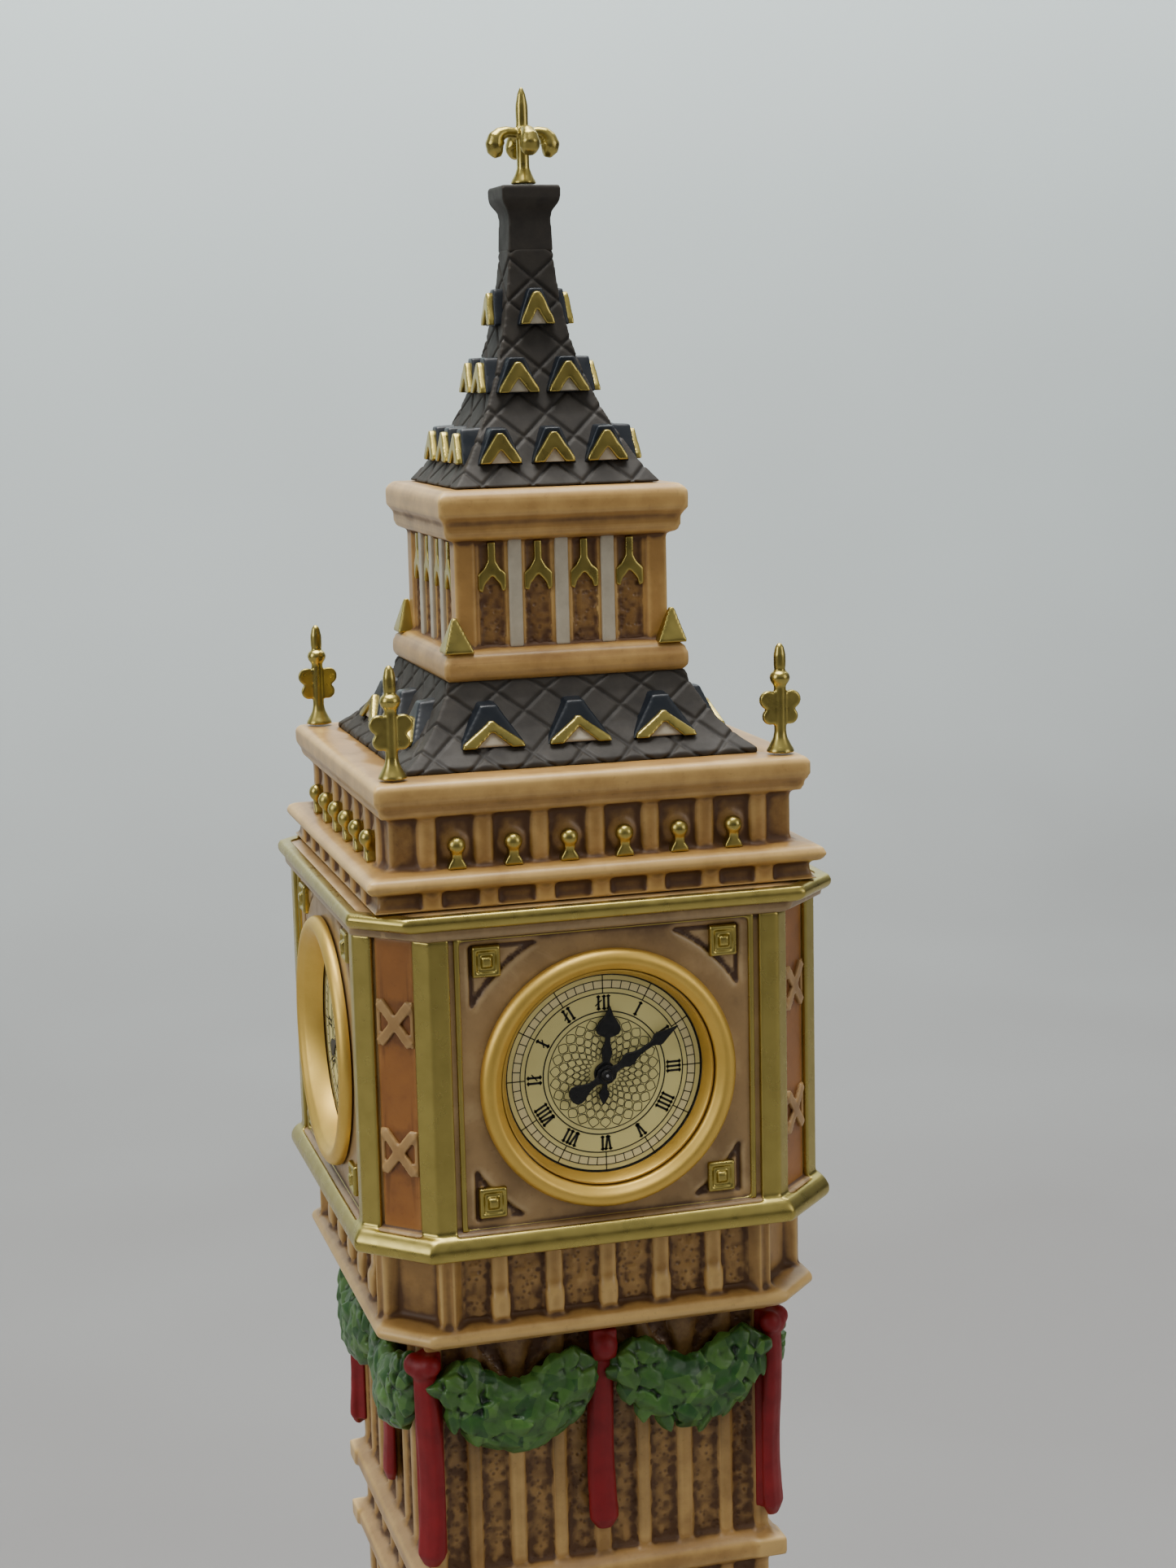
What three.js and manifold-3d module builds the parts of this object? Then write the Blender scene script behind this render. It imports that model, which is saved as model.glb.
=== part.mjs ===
// A miniature porcelain clock tower: a ribbed hollow shaft on a plinth, an eight-sided clock stage,
// a gallery, a belfry and two concave slate roofs, with cast metal finials, applied garlands and
// ribbons, a working clock insert that pulls out of the front, and three fixed dials.
// Millimetres, +Z up, the clock faces -Y, and the origin is at the middle of the plinth's foot.
import * as THREE from "three";
import { ConvexGeometry } from "three/addons/geometries/ConvexGeometry.js";
import { mergeVertices } from "three/addons/utils/BufferGeometryUtils.js";
import Module from "manifold-3d";

const wasm = await Module();
wasm.setup();

// ---- driving dimensions ----
const CLOCK_Z = 225; // height of the dials' centre above the foot
const WALL = 3.5; // porcelain wall
const GAP = 0.3; // glue or seating gap between neighbouring pieces
const BEZEL_R = 18; // outside of every clock ring

// Heights of the joints between the porcelain sections
const PLINTH_TOP = 32;
const SHAFT_SPLIT = 112;
const SHAFT_TOP = CLOCK_Z - 37.2;
const CORBEL_TOP = CLOCK_Z - 23.4;
const STAGE_TOP = CLOCK_Z + 24.6;
const SLAB_TOP = CLOCK_Z + 41.8;
const LOWER_ROOF_TOP = CLOCK_Z + 52.6;
const BELFRY_TOP = CLOCK_Z + 78.7;
const SPIRE_TOP = CLOCK_Z + 111;
const CAP_TOP = CLOCK_Z + 119.9;

// Half widths of the square and eight-sided sections
const SHAFT_PANEL = 24.1;
const SHAFT_RIB = 25;
const SHAFT_HOLLOW = SHAFT_PANEL - WALL;
const STRING_W = 26.9;
const CORBEL_PANEL = 29.4;
const CORBEL_RIB = 30.3;
const CORBEL_CHAMFER = 6.8;
const STAGE_W = 33;
const STAGE_CHAMFER = 8.6;
const STAGE_PANEL = 32.3;
const STAGE_HOLLOW = 28.5;
const GALLERY_W = 28.2;
const GALLERY_PILASTER = 29;
const GALLERY_HOLLOW = 24.5;
const DENTIL_BODY = 30.3;
const DENTIL_FACE = 31.1;
const BELFRY_PANEL = 14.4;
const BELFRY_POST = 15.2;
const BELFRY_HOLLOW = 11;

// Pitches of what repeats along a face
const BAY = 7.75; // gallery pilasters, dentils and corbel ribs
const RIB_PITCH = 6.2; // shaft ribs
const MULLION_PITCH = 6.55; // belfry mullions

// Light hole in the back of the lower shaft
const LIGHT_HOLE_R = 12;
const LIGHT_HOLE_Z = 54;

// Clock: heights are along the clock's own axis, from the panel outwards
const SOCKET_R = 16.5;
const DIAL_TOP = -1.9;
const DIAL_R = 13.9;
const POCKET_R = 15.5;
const POCKET_DEPTH = 2.6;
const MODULE = 0.3; // of the motion work's teeth
const CANNON_TEETH = 10;
const MINUTE_WHEEL_TEETH = 30;
const PINION_TEETH = 8;
const HOUR_WHEEL_TEETH = 32;
const WHEEL_OFFSET = (MODULE * (CANNON_TEETH + MINUTE_WHEEL_TEETH)) / 2;
const HOUR_ANGLE = -5; // degrees, clockwise from twelve is negative: ten past twelve
const MINUTE_ANGLE = -60;
const HALF_TURN = 180;

// ---- materials ----
const paint = (color, roughness, metalness = 0) =>
  new THREE.MeshStandardMaterial({ color, roughness, metalness });
const PORCELAIN = paint(0xb98b55, 0.55);
const SLATE = paint(0x2c2624, 0.65);
const GOLD = paint(0xb0913f, 0.3, 0.9);
const SATIN_GOLD = paint(0xc79a45, 0.4, 0.9);
const LEAF = paint(0x2e6b35, 0.5);
const RIBBON = paint(0xa8142c, 0.45);
const DIAL_PAPER = paint(0xc9b676, 0.5);
const BLACK = paint(0x0b0b0c, 0.5);
const GLASS = paint(0xf2f4f2, 0.05);
const PLASTIC = paint(0xd9d6cc, 0.5);
const RUBBER = paint(0x1c1c1c, 0.8);
const BRASS = paint(0xb9973f, 0.35, 0.9);
const STEEL = paint(0xb8b9bb, 0.3, 0.9);
const COPPER = paint(0xa4562f, 0.4, 0.8);
const BOARD = paint(0x1f5a3a, 0.6);

// ---- solids ----
const point = (x, y, z) => new THREE.Vector3(x, y, z);

// A closed geometry as a manifold solid, facing out
function solid(geometry) {
  const bare = geometry.clone();
  bare.deleteAttribute("normal");
  bare.deleteAttribute("uv");
  const merged = mergeVertices(bare, 1e-4);
  const vertProperties = new Float32Array(merged.attributes.position.array);
  const triVerts = new Uint32Array(merged.index.array);
  const made = new wasm.Manifold(new wasm.Mesh({ numProp: 3, vertProperties, triVerts }));
  if (made.volume() >= 0) return made;
  triVerts.reverse();
  return new wasm.Manifold(new wasm.Mesh({ numProp: 3, vertProperties, triVerts }));
}

const joined = (solids) => solids.reduce((sum, next) => sum.add(next));

function geometryOf(manifold) {
  const mesh = manifold.getMesh();
  const positions = new THREE.BufferAttribute(new Float32Array(mesh.vertProperties), 3);
  return new THREE.BufferGeometry()
    .setAttribute("position", positions)
    .setIndex(new THREE.BufferAttribute(new Uint32Array(mesh.triVerts), 1));
}

// A box between two corners
function block(x0, x1, y0, y1, z0, z1) {
  const box = new THREE.BoxGeometry(x1 - x0, y1 - y0, z1 - z0);
  return solid(box.translate((x0 + x1) / 2, (y0 + y1) / 2, (z0 + z1) / 2));
}

// A relief block on the front face: its middle, width, foot, head, and how far it stands out
const relief = (x, width, z0, z1, back, front) => block(x - width / 2, x + width / 2, -front, -back, z0, z1);

// A square section: a profile of [half width, height] turned in four steps
function square(profile) {
  const points = profile.map(([w, z]) => new THREE.Vector2(w * Math.SQRT2, z));
  const foot = new THREE.Vector2(0, points[0].y);
  const head = new THREE.Vector2(0, points.at(-1).y);
  return solid(new THREE.LatheGeometry([foot, ...points, head], 4).rotateX(Math.PI / 2).rotateZ(Math.PI / 4));
}

// A round section about Z, from a closed or axis-to-axis profile of [radius, height]
function turned(profile, segments) {
  const points = profile.map(([r, z]) => new THREE.Vector2(r, z));
  return solid(new THREE.LatheGeometry(points, segments).rotateX(Math.PI / 2));
}
const disc = (r, z0, z1, segments) => turned([[0, z0], [r, z0], [r, z1], [0, z1]], segments);
const closedRing = (profile, segments) => turned([...profile, profile[0]], segments);

// A skin over rings of points, closed by a fan at each end
function lofted(rings) {
  const n = rings[0].length;
  const index = [];
  for (let k = 0; k + 1 < rings.length; k += 1) {
    for (let i = 0; i < n; i += 1) {
      const a = k * n + i;
      const b = k * n + ((i + 1) % n);
      index.push(a, b, b + n, a, b + n, a + n);
    }
  }
  const last = (rings.length - 1) * n;
  for (let i = 1; i + 1 < n; i += 1) {
    index.push(0, i + 1, i);
    index.push(last, last + i, last + i + 1);
  }
  return solid(new THREE.BufferGeometry().setFromPoints(rings.flat()).setIndex(index));
}

// An eight-sided section from [half width, corner cut, height] steps
function chamfered(steps) {
  return lofted(steps.map(([w, c, z]) => {
    const s = w - c;
    const corners = [[w, -s], [w, s], [s, w], [-s, w], [-w, s], [-w, -s], [-s, -w], [s, -w]];
    return corners.map(([x, y]) => point(x, y, z));
  }));
}

const hull = (points) => solid(new ConvexGeometry(points.map(([x, y, z]) => point(x, y, z))));
const quarterTurns = (made) => [0, 90, HALF_TURN, 270].map((angle) => made.rotate([0, 0, angle]));
const onFourSides = (solids) => solids.flatMap(quarterTurns);
const bore = (halfWidth, z0, z1) => block(-halfWidth, halfWidth, -halfWidth, halfWidth, z0, z1);

// Positions of count things at a pitch, about the middle
const spread = (count, pitch) => Array.from({ length: count }, (_, i) => (i - (count - 1) / 2) * pitch);

// ---- the group that holds the meshes ----
const tower = new THREE.Group();
tower.name = "clock_tower";

function add(name, made, material, parent = tower) {
  const mesh = new THREE.Mesh(geometryOf(made), material);
  mesh.name = name;
  parent.add(mesh);
  return mesh;
}

// ---- porcelain ----
function plinth() {
  const body = square([
    [33, 0], [33, 5], [30.5, 7.5], [28.6, 9], [28.6, 25], [30.2, 27], [30.2, 29.5], [27, PLINTH_TOP],
  ]);
  const panels = onFourSides(spread(3, 17).map((x) => relief(x, 13, 12, 22.5, 27.8, 29)));
  return body.subtract(joined(panels)).subtract(bore(SHAFT_HOLLOW, -1, PLINTH_TOP + 1));
}

// A string course: a rounded moulding between two heights
function stringCourse(z0, z1) {
  const w = STRING_W;
  return square([[SHAFT_PANEL, z0], [w - 0.6, z0 + 0.9], [w, z0 + 1.8], [w, z1 - 1.2], [SHAFT_RIB, z1]]);
}

function shaftSection(z0, z1, courses) {
  const body = square([[SHAFT_PANEL, z0], [SHAFT_PANEL, z1]]);
  const ribs = spread(7, RIB_PITCH).map((x) => relief(x, 2, z0, z1, SHAFT_PANEL - 1, SHAFT_RIB));
  const post = block(-SHAFT_RIB, -SHAFT_RIB + 2.4, -SHAFT_RIB, -SHAFT_RIB + 2.4, z0, z1);
  const mouldings = courses.map(([low, high]) => stringCourse(low, high));
  return joined([body, ...onFourSides([...ribs, post]), ...mouldings])
    .subtract(bore(SHAFT_HOLLOW, z0 - 1, z1 + 1));
}

function lowerShaft() {
  const made = shaftSection(PLINTH_TOP + GAP, SHAFT_SPLIT - GAP / 2, [[84, 88.6]]);
  const hole = new THREE.CylinderGeometry(LIGHT_HOLE_R, LIGHT_HOLE_R, 20, 32);
  return made.subtract(solid(hole.translate(0, SHAFT_RIB, LIGHT_HOLE_Z)));
}

const upperShaft = () => shaftSection(SHAFT_SPLIT + GAP / 2, SHAFT_TOP - GAP, [
  [CLOCK_Z - 87.6, CLOCK_Z - 83], [CLOCK_Z - 77.4, CLOCK_Z - 72.8],
]);

function corbelStage() {
  const z0 = SHAFT_TOP;
  const foot = CLOCK_Z - 33.4;
  const c = CORBEL_CHAMFER;
  const body = chamfered([
    [SHAFT_RIB + 3, 4.5, z0], [31.4, 6.2, z0 + 1], [32, 6.3, z0 + 2], [31.6, 6.3, z0 + 3],
    [CORBEL_PANEL, c, foot], [CORBEL_PANEL, c, CORBEL_TOP],
  ]);
  const ribs = spread(5, BAY).map((x) =>
    relief(x, 2.3, foot - 0.8, CORBEL_TOP, CORBEL_PANEL - 1, CORBEL_RIB));
  const bosses = spread(5, BAY).map((x) => hull([-1, 1].flatMap((side) => [
    [x + side * 1.25, -29.5, foot - 0.2], [x + side * 1.25, -29.5, foot + 5],
    [x + side * 0.9, -31, foot + 1.6], [x + side * 0.9, -31, foot + 3.2],
  ])));
  const post = hull([21.6, 24.4].flatMap((x) => [[foot - 0.8, 30.6], [CORBEL_TOP, 30.6]].flatMap(([z, y]) => [
    [x, -y, z], [x, -CORBEL_PANEL + 1.5, z],
  ])));
  const posts = [post, post.mirror([1, 0, 0])];
  return joined([body, ...onFourSides([...ribs, ...bosses, ...posts])])
    .subtract(bore(SHAFT_HOLLOW, z0 - 1, CORBEL_TOP + 1));
}

// One corner of a dial panel: a triangle whose long side follows the clock ring
function spandrel(sideX, sideZ) {
  const middle = 0.7;
  const edgeX = 19.2;
  const edgeZ = 19.3;
  const arcR = 21.4;
  const lowZ = Math.sqrt(arcR ** 2 - edgeX ** 2);
  const lowX = Math.sqrt(arcR ** 2 - (edgeZ + sideZ * middle) ** 2);
  const cornerZ = edgeZ + sideZ * middle;
  const shape = new THREE.Shape();
  shape.moveTo(edgeX, cornerZ);
  shape.lineTo(lowX, cornerZ);
  shape.absarc(0, 0, arcR, Math.atan2(cornerZ, lowX), Math.atan2(lowZ, edgeX), true);
  const cut = new THREE.ExtrudeGeometry(shape, { depth: 2, bevelEnabled: false, curveSegments: 3 });
  const upright = solid(cut.rotateX(Math.PI / 2)).translate([0, -STAGE_PANEL + 0.6, 0]);
  const placed = upright.scale([sideX, 1, sideZ]);
  return placed.translate([0, 0, CLOCK_Z]);
}

function clockStage() {
  const z0 = CORBEL_TOP + GAP;
  const w = STAGE_W;
  const c = STAGE_CHAMFER;
  const foot = CLOCK_Z - 19.6;
  const head = CLOCK_Z + 20.9;
  let body = chamfered([
    [33.2, c, z0], [34.2, c, z0 + 0.5], [34.5, c, z0 + 1.2], [34.1, c, z0 + 2.1], [w + 0.3, c, foot],
    [w, c, foot], [w, c, head], [w + 0.4, c - 0.4, head + 0.1], [w + 0.4, c - 0.6, head + 1.4],
    [34.1, 7.6, head + 1.9], [34.4, 7.2, head + 2.6], [34, 7, STAGE_TOP - 0.4], [31.5, 6.4, STAGE_TOP],
  ]);
  const panel = relief(0, 41.2, foot + 0.1, head - 0.1, STAGE_PANEL, w + 3);
  const corners = [[1, 1], [1, -1], [-1, 1], [-1, -1]].map(([sx, sz]) => spandrel(sx, sz));
  const chamferFace = (2 * w - c) / Math.SQRT2;
  const slot = block(-2.9, 2.9, -60, 0.8 - chamferFace, foot + 0.1, head - 0.1).rotate([0, 0, 45]);
  body = body.subtract(joined(onFourSides([panel, ...corners, slot])));
  const studs = [-16.6, 16.6].flatMap((x) => [-15.8, 17.6].map((z) => hull([
    ...[-1.9, 1.9].flatMap((dx) => [-2.1, 2.1].map((dz) => [x + dx, -STAGE_PANEL + 1, CLOCK_Z + z + dz])),
    ...[-1.9, 1.9].flatMap((dx) => [-2.1, 2.1].map((dz) => [x + dx, -STAGE_PANEL + 0.1, CLOCK_Z + z + dz])),
    ...[-1.1, 1.1].flatMap((dx) => [-1.3, 1.3].map((dz) => [x + dx, -STAGE_PANEL - 0.7, CLOCK_Z + z + dz])),
  ])));
  const crosses = [-8.7, 9.2].flatMap((z) => [-1, 1].map((lean) => {
    const bar = block(-0.55, 0.55, -40.2, -38.6, -4.6, 4.6).rotate([0, lean * 38, 0]);
    const trimmed = bar.intersect(block(-2.95, 2.95, -41, -38, -3.1, 3.1));
    return trimmed.rotate([0, 0, 45]).translate([0, 0, CLOCK_Z + z]);
  }));
  body = joined([body, ...onFourSides([...studs, ...crosses])]);
  const socketGeometry = new THREE.CylinderGeometry(SOCKET_R, SOCKET_R, 12, 32);
  const socket = solid(socketGeometry.translate(0, -STAGE_PANEL, CLOCK_Z));
  const pocketGeometry = new THREE.CylinderGeometry(POCKET_R, POCKET_R, 2 * POCKET_DEPTH, 28);
  const pocket = solid(pocketGeometry.translate(0, -STAGE_PANEL, CLOCK_Z));
  const hollow = bore(STAGE_HOLLOW, z0 - 1, STAGE_TOP + 1);
  const pockets = quarterTurns(pocket).slice(1);
  return body.subtract(hollow.intersect(chamfered([[28.5, 6, z0 - 1], [28.5, 6, STAGE_TOP + 1]])))
    .subtract(joined([socket, ...pockets]));
}

function gallery() {
  const z0 = STAGE_TOP + GAP;
  const arcadeFoot = CLOCK_Z + 30;
  const arcadeHead = CLOCK_Z + 36.9;
  const body = square([
    [DENTIL_BODY + 0.8, z0], [DENTIL_BODY, z0 + 0.7], [DENTIL_BODY, CLOCK_Z + 27], [31.6, CLOCK_Z + 27.3],
    [32.1, CLOCK_Z + 28], [32.1, CLOCK_Z + 28.8], [31.6, CLOCK_Z + 29.4], [GALLERY_W, arcadeFoot],
    [GALLERY_W, arcadeHead], [29.5, arcadeHead + 0.5], [29.8, arcadeHead + 1.6], [30.2, arcadeHead + 1.9],
    [30.5, arcadeHead + 2.6], [30.5, SLAB_TOP - 1.1], [30, SLAB_TOP - 0.3], [29, SLAB_TOP],
  ]);
  const pilasters = spread(7, BAY).map((x) =>
    relief(x, 2.3, arcadeFoot - 0.3, arcadeHead + 0.2, GALLERY_W - 1, GALLERY_PILASTER));
  const dentils = spread(7, BAY).map((x) =>
    relief(x, 2.6, z0 + 0.4, CLOCK_Z + 27.2, DENTIL_BODY - 1, DENTIL_FACE));
  const balls = spread(6, BAY).map((x) => {
    const ball = new THREE.IcosahedronGeometry(1.35, 0);
    return solid(ball.translate(x, -GALLERY_W - 0.9, CLOCK_Z + 32.9));
  });
  const stands = spread(6, BAY).map((x) => hull([-1, 1].flatMap((side) => [
    [x + side * 1.3, -GALLERY_W + 0.5, arcadeFoot - 0.3],
    [x + side * 1.3, -GALLERY_W - 1.6, arcadeFoot - 0.3],
    [x + side * 0.7, -GALLERY_W + 0.5, CLOCK_Z + 32.2],
    [x + side * 0.7, -GALLERY_W - 1, CLOCK_Z + 32.2],
  ])));
  return joined([body, ...onFourSides([...pilasters, ...dentils, ...balls, ...stands])])
    .subtract(bore(GALLERY_HOLLOW, z0 - 1, SLAB_TOP + 1));
}

// A dormer on the front slope: an upright gable with a blunt crown, running back into the slope
function dormer(x, halfWidth, sill, apex, front, ridgeBack, ridgeTop) {
  return hull([-1, 1].flatMap((side) => [
    [x + side * halfWidth, -front, sill],
    [x + side * halfWidth * 0.85, -front + 0.1, sill + 1],
    [x + side * halfWidth * 0.3, -front + 0.2, apex],
    [x + side * halfWidth * 0.3, -ridgeBack, ridgeTop],
    [x + side * halfWidth, -ridgeBack + 1, sill],
  ]));
}

function lowerRoof() {
  const z0 = SLAB_TOP + GAP;
  const body = square([
    [24.9, z0], [24.7, z0 + 0.5], [21.6, CLOCK_Z + 45.2], [19.1, CLOCK_Z + 48.5], [17, LOWER_ROOF_TOP],
  ]);
  const dormers = spread(3, 12.2).map((x) =>
    dormer(x, 4.4, CLOCK_Z + 44.5, CLOCK_Z + 48.2, 22.9, 17, CLOCK_Z + 51.2));
  const core = square([[20.5, z0 - 1], [17, CLOCK_Z + 45], [13, LOWER_ROOF_TOP], [13, LOWER_ROOF_TOP + 1]]);
  return joined([body, ...onFourSides(dormers)]).subtract(core);
}

// The gilded arch head in a belfry bay: a stem over a pointed arch
function archHead(x) {
  const top = CLOCK_Z + 71.8;
  const outline = [
    [-0.6, 0], [-0.6, -3.4], [-2, -5.2], [-2, -6.8], [0, -5], [2, -6.8], [2, -5.2], [0.6, -3.4], [0.6, 0],
  ];
  const shape = new THREE.Shape(outline.map(([u, v]) => new THREE.Vector2(x + u, top + v)));
  const plate = new THREE.ExtrudeGeometry(shape, { depth: 1.2, bevelEnabled: false });
  return solid(plate.rotateX(Math.PI / 2)).translate([0, -BELFRY_PANEL + 0.7, 0]);
}

function belfry() {
  const z0 = LOWER_ROOF_TOP + GAP;
  const foot = CLOCK_Z + 57.2;
  const head = CLOCK_Z + 72;
  const body = square([
    [16.4, z0], [17.2, z0 + 0.8], [17.5, z0 + 1.8], [17.3, z0 + 3], [15.8, foot], [BELFRY_PANEL, foot],
    [BELFRY_PANEL, head], [16.2, head + 0.4], [16.8, head + 1.4], [16.8, head + 2.6], [17.4, head + 3.2],
    [17.7, head + 4], [17.7, BELFRY_TOP - 0.8], [17, BELFRY_TOP],
  ]);
  const mullions = spread(3, MULLION_PITCH).map((x) =>
    relief(x, 1.9, foot - 0.2, head + 0.3, BELFRY_PANEL - 1, BELFRY_POST));
  const post = block(-BELFRY_POST, -12.4, -BELFRY_POST, -12.4, foot - 0.2, head + 0.3);
  const heads = spread(4, MULLION_PITCH).map(archHead);
  const pinnacleFoot = [-17.3, -13.2].flatMap((x) => [-17.3, -13.2].map((y) => [x, y, foot - 0.3]));
  const pinnacle = hull([...pinnacleFoot, [-15.6, -15.6, CLOCK_Z + 62]]);
  return joined([body, ...onFourSides([...mullions, post, ...heads, pinnacle])])
    .subtract(bore(BELFRY_HOLLOW, z0 - 1, BELFRY_TOP + 1));
}

// Half width of the spire's concave slope at a height above the dials' centre
const SPIRE_SLOPE = [[14.6, 79], [9.9, 86.2], [7.6, 90.9], [5.1, 97.9], [3.8, 104.9], [3.2, 111]];

function spireRoof() {
  const z0 = BELFRY_TOP + GAP;
  const slope = SPIRE_SLOPE.map(([w, z]) => [w, CLOCK_Z + z]);
  const body = square([[14.8, z0], ...slope.slice(1)]);
  const row = (count, pitch, halfWidth, sill, apex, front, back, top) =>
    spread(count, pitch).map((x) =>
      dormer(x, halfWidth, CLOCK_Z + sill, CLOCK_Z + apex, front, back, CLOCK_Z + top));
  const dormers = [
    ...row(3, 7.6, 2.9, 82.1, 86.5, 13, 8.6, 88.4),
    ...row(2, 7.2, 2.8, 91.6, 95.9, 8, 5.2, 97.5),
    ...row(1, 0, 2.4, 101, 105.5, 5.4, 3.4, 107),
  ];
  const core = square([[11, z0 - 1], [6.5, CLOCK_Z + 86], [2, CLOCK_Z + 98]]);
  return joined([body, ...onFourSides(dormers)]).subtract(core);
}

const spireCap = () => square([
  [3.15, SPIRE_TOP + GAP], [3, CLOCK_Z + 116], [4, CLOCK_Z + 117.6], [4.2, CLOCK_Z + 118.2], [4.2, CAP_TOP],
]);

// ---- metal finials ----
function topFinial() {
  const z = CAP_TOP + GAP;
  const stem = turned([
    [0, z], [1.75, z], [1.1, z + 1.4], [0.9, z + 2.2], [0.9, z + 9.5], [0.75, z + 12], [0, z + 13.3],
  ], 10);
  const arm = new THREE.CatmullRomCurve3([
    point(0, 0, z + 6.4), point(1.8, 0, z + 6.9), point(3.4, 0, z + 6.9), point(4.1, 0, z + 5.6),
    point(3.7, 0, z + 4.4),
  ]);
  const corner = (i) => new THREE.Vector2(Math.cos((i * Math.PI) / 3), Math.sin((i * Math.PI) / 3));
  const section = new THREE.Shape(Array.from({ length: 6 }, (_, i) => corner(i).multiplyScalar(0.8)));
  const bar = solid(new THREE.ExtrudeGeometry(section, { steps: 6, extrudePath: arm, bevelEnabled: false }));
  const bulb = solid(new THREE.IcosahedronGeometry(1.4, 0).translate(3.7, 0, z + 4.7));
  return joined([stem, ...quarterTurns(bar.add(bulb))]);
}

function cornerFinial() {
  const stem = turned([
    [0, 0], [1.95, 0], [1.8, 0.5], [0.95, 2.3], [0.9, 10.2], [1.35, 10.8], [1.35, 11.3], [0.85, 11.9],
    [0.8, 14.2], [0, 15.3],
  ], 8);
  const lobe = (x, z, r) => {
    const plate = new THREE.CylinderGeometry(r, r, 0.8, 7);
    return solid(plate.translate(x, 0, z));
  };
  const web = block(-2, 2, -0.35, 0.35, 4.6, 7.6);
  const lobes = [-1, 1].flatMap((side) => [lobe(side * 2.1, 7, 1.2), lobe(side * 1.9, 5, 1)]);
  return joined([stem, web, ...lobes]);
}

// ---- garlands and ribbons ----
// A swag on the front face between two hanging points, flat behind, its belly at the middle
function swag(x0, x1) {
  const steps = 7;
  const sides = 8;
  const rings = Array.from({ length: steps + 1 }, (_, k) => {
    const t = k / steps;
    const belly = 1 - (2 * t - 1) ** 2;
    const high = 2.7 + 2.2 * Math.sqrt(belly);
    const deep = 1.5 + 0.9 * belly;
    const lean = (t - 0.5) * 1.1 * Math.sign(x1 - x0);
    const middle = point(x0 + (x1 - x0) * t, -(SHAFT_RIB + GAP + deep), CLOCK_Z - 41.3 - 7.7 * belly);
    return Array.from({ length: sides }, (_, i) => {
      const a = ((i + 0.5) * 2 * Math.PI) / sides;
      const across = Math.cos(a) * high;
      return point(middle.x - across * lean, middle.y - Math.sin(a) * deep, middle.z + across);
    });
  });
  return lofted(rings);
}

// A hanging strip in its own frame, x across, y out of the wall, z up, with a knot at its head
function ribbonTail(top, bottom, width, thickness) {
  const steps = 3;
  const rings = Array.from({ length: steps + 1 }, (_, k) => {
    const t = k / steps;
    const half = (width / 2) * (0.86 + 0.2 * t);
    const z = bottom + (top - bottom) * (1 - t);
    const right = [[half, 0.1], [half, thickness * 0.6], [half * 0.5, thickness]];
    const left = right.map(([x, y]) => [-x, y]).reverse();
    return [...right, ...left].map(([x, y]) => point(x, -y, z));
  });
  return lofted(rings);
}

// The knot: a block with its edges cut back by an inset
function knot(width, depth, z0, z1) {
  const half = width / 2;
  const inset = 0.8;
  return hull([-1, 1].flatMap((side) => [
    ...[z0, z1].flatMap((z) => [0.1, depth].map((y) => [side * (half - inset), -y, z])),
    ...[z0 + inset, z1 - inset].flatMap((z) => [0.1, depth - inset].map((y) => [side * half, -y, z])),
  ]));
}

const RIBBON_TOP = CLOCK_Z - 37.8;
const RIBBON_END = CLOCK_Z - 68.6;
const CORNER_RIBBON_END = CLOCK_Z - 70.4;

const middleRibbon = () => joined([
  ribbonTail(RIBBON_TOP - 4, RIBBON_END, 4, 1.7),
  knot(4.3, 4.4, RIBBON_TOP - 5.6, RIBBON_TOP),
]).translate([0, -SHAFT_RIB - GAP, 0]);

const cornerRibbon = () => joined([
  ribbonTail(RIBBON_TOP - 4, CORNER_RIBBON_END, 4.6, 1.7),
  knot(6, 3.4, RIBBON_TOP - 5.4, RIBBON_TOP),
]).translate([0, -SHAFT_RIB * Math.SQRT2 - GAP, 0]);

// ---- clock ----
// Everything here stands on a dial panel, with its own Z out of the face and Y up
function clockGroup(quarter) {
  const group = new THREE.Group();
  const turn = new THREE.Group();
  group.position.set(0, -STAGE_PANEL, CLOCK_Z);
  group.rotation.x = Math.PI / 2;
  turn.rotation.z = (quarter * Math.PI) / 2;
  turn.add(group);
  tower.add(turn);
  return group;
}

const RING_FRONT = [
  [BEZEL_R, GAP], [BEZEL_R, 0.9], [17.4, 1.8], [16, 1.9], [15.2, 1],
];

const fixedRing = () =>
  closedRing([...RING_FRONT, [14, DIAL_TOP + GAP], [15, DIAL_TOP + GAP], [15.2, GAP]], 28);
const fixedDial = () => disc(15.1, DIAL_TOP - 0.3, DIAL_TOP, 28);

// A plate cut from an outline of [x, y] points, between two heights
function plate(outline, z0, z1, centreHole = 0) {
  const shape = new THREE.Shape(outline.map(([x, y]) => new THREE.Vector2(x, y)));
  if (centreHole) shape.holes.push(new THREE.Path().absarc(0, 0, centreHole, 0, 2 * Math.PI, true));
  const made = new THREE.ExtrudeGeometry(shape, { depth: z1 - z0, bevelEnabled: false, curveSegments: 8 });
  return solid(made.translate(0, 0, z0));
}

const HOUR_OUTLINE_RIGHT = [
  [0.72, -2.7], [0.42, -1.3], [1, -0.7], [1, 0.7], [0.5, 1.3], [0.7, 2.6], [0.36, 4.3], [0.9, 4.6],
  [1.25, 5.3], [1.1, 6.3], [0.25, 7.9],
];
const MINUTE_OUTLINE_RIGHT = [
  [1, -3.9], [1.05, -3.2], [0.45, -1.9], [0.42, -1.2], [0.9, -0.6], [0.9, 0.7], [0.45, 1.3], [0.85, 3.2],
  [0.36, 5], [0.32, 7.2], [0.8, 8.2], [0.65, 9], [0.12, 11.6],
];

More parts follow.
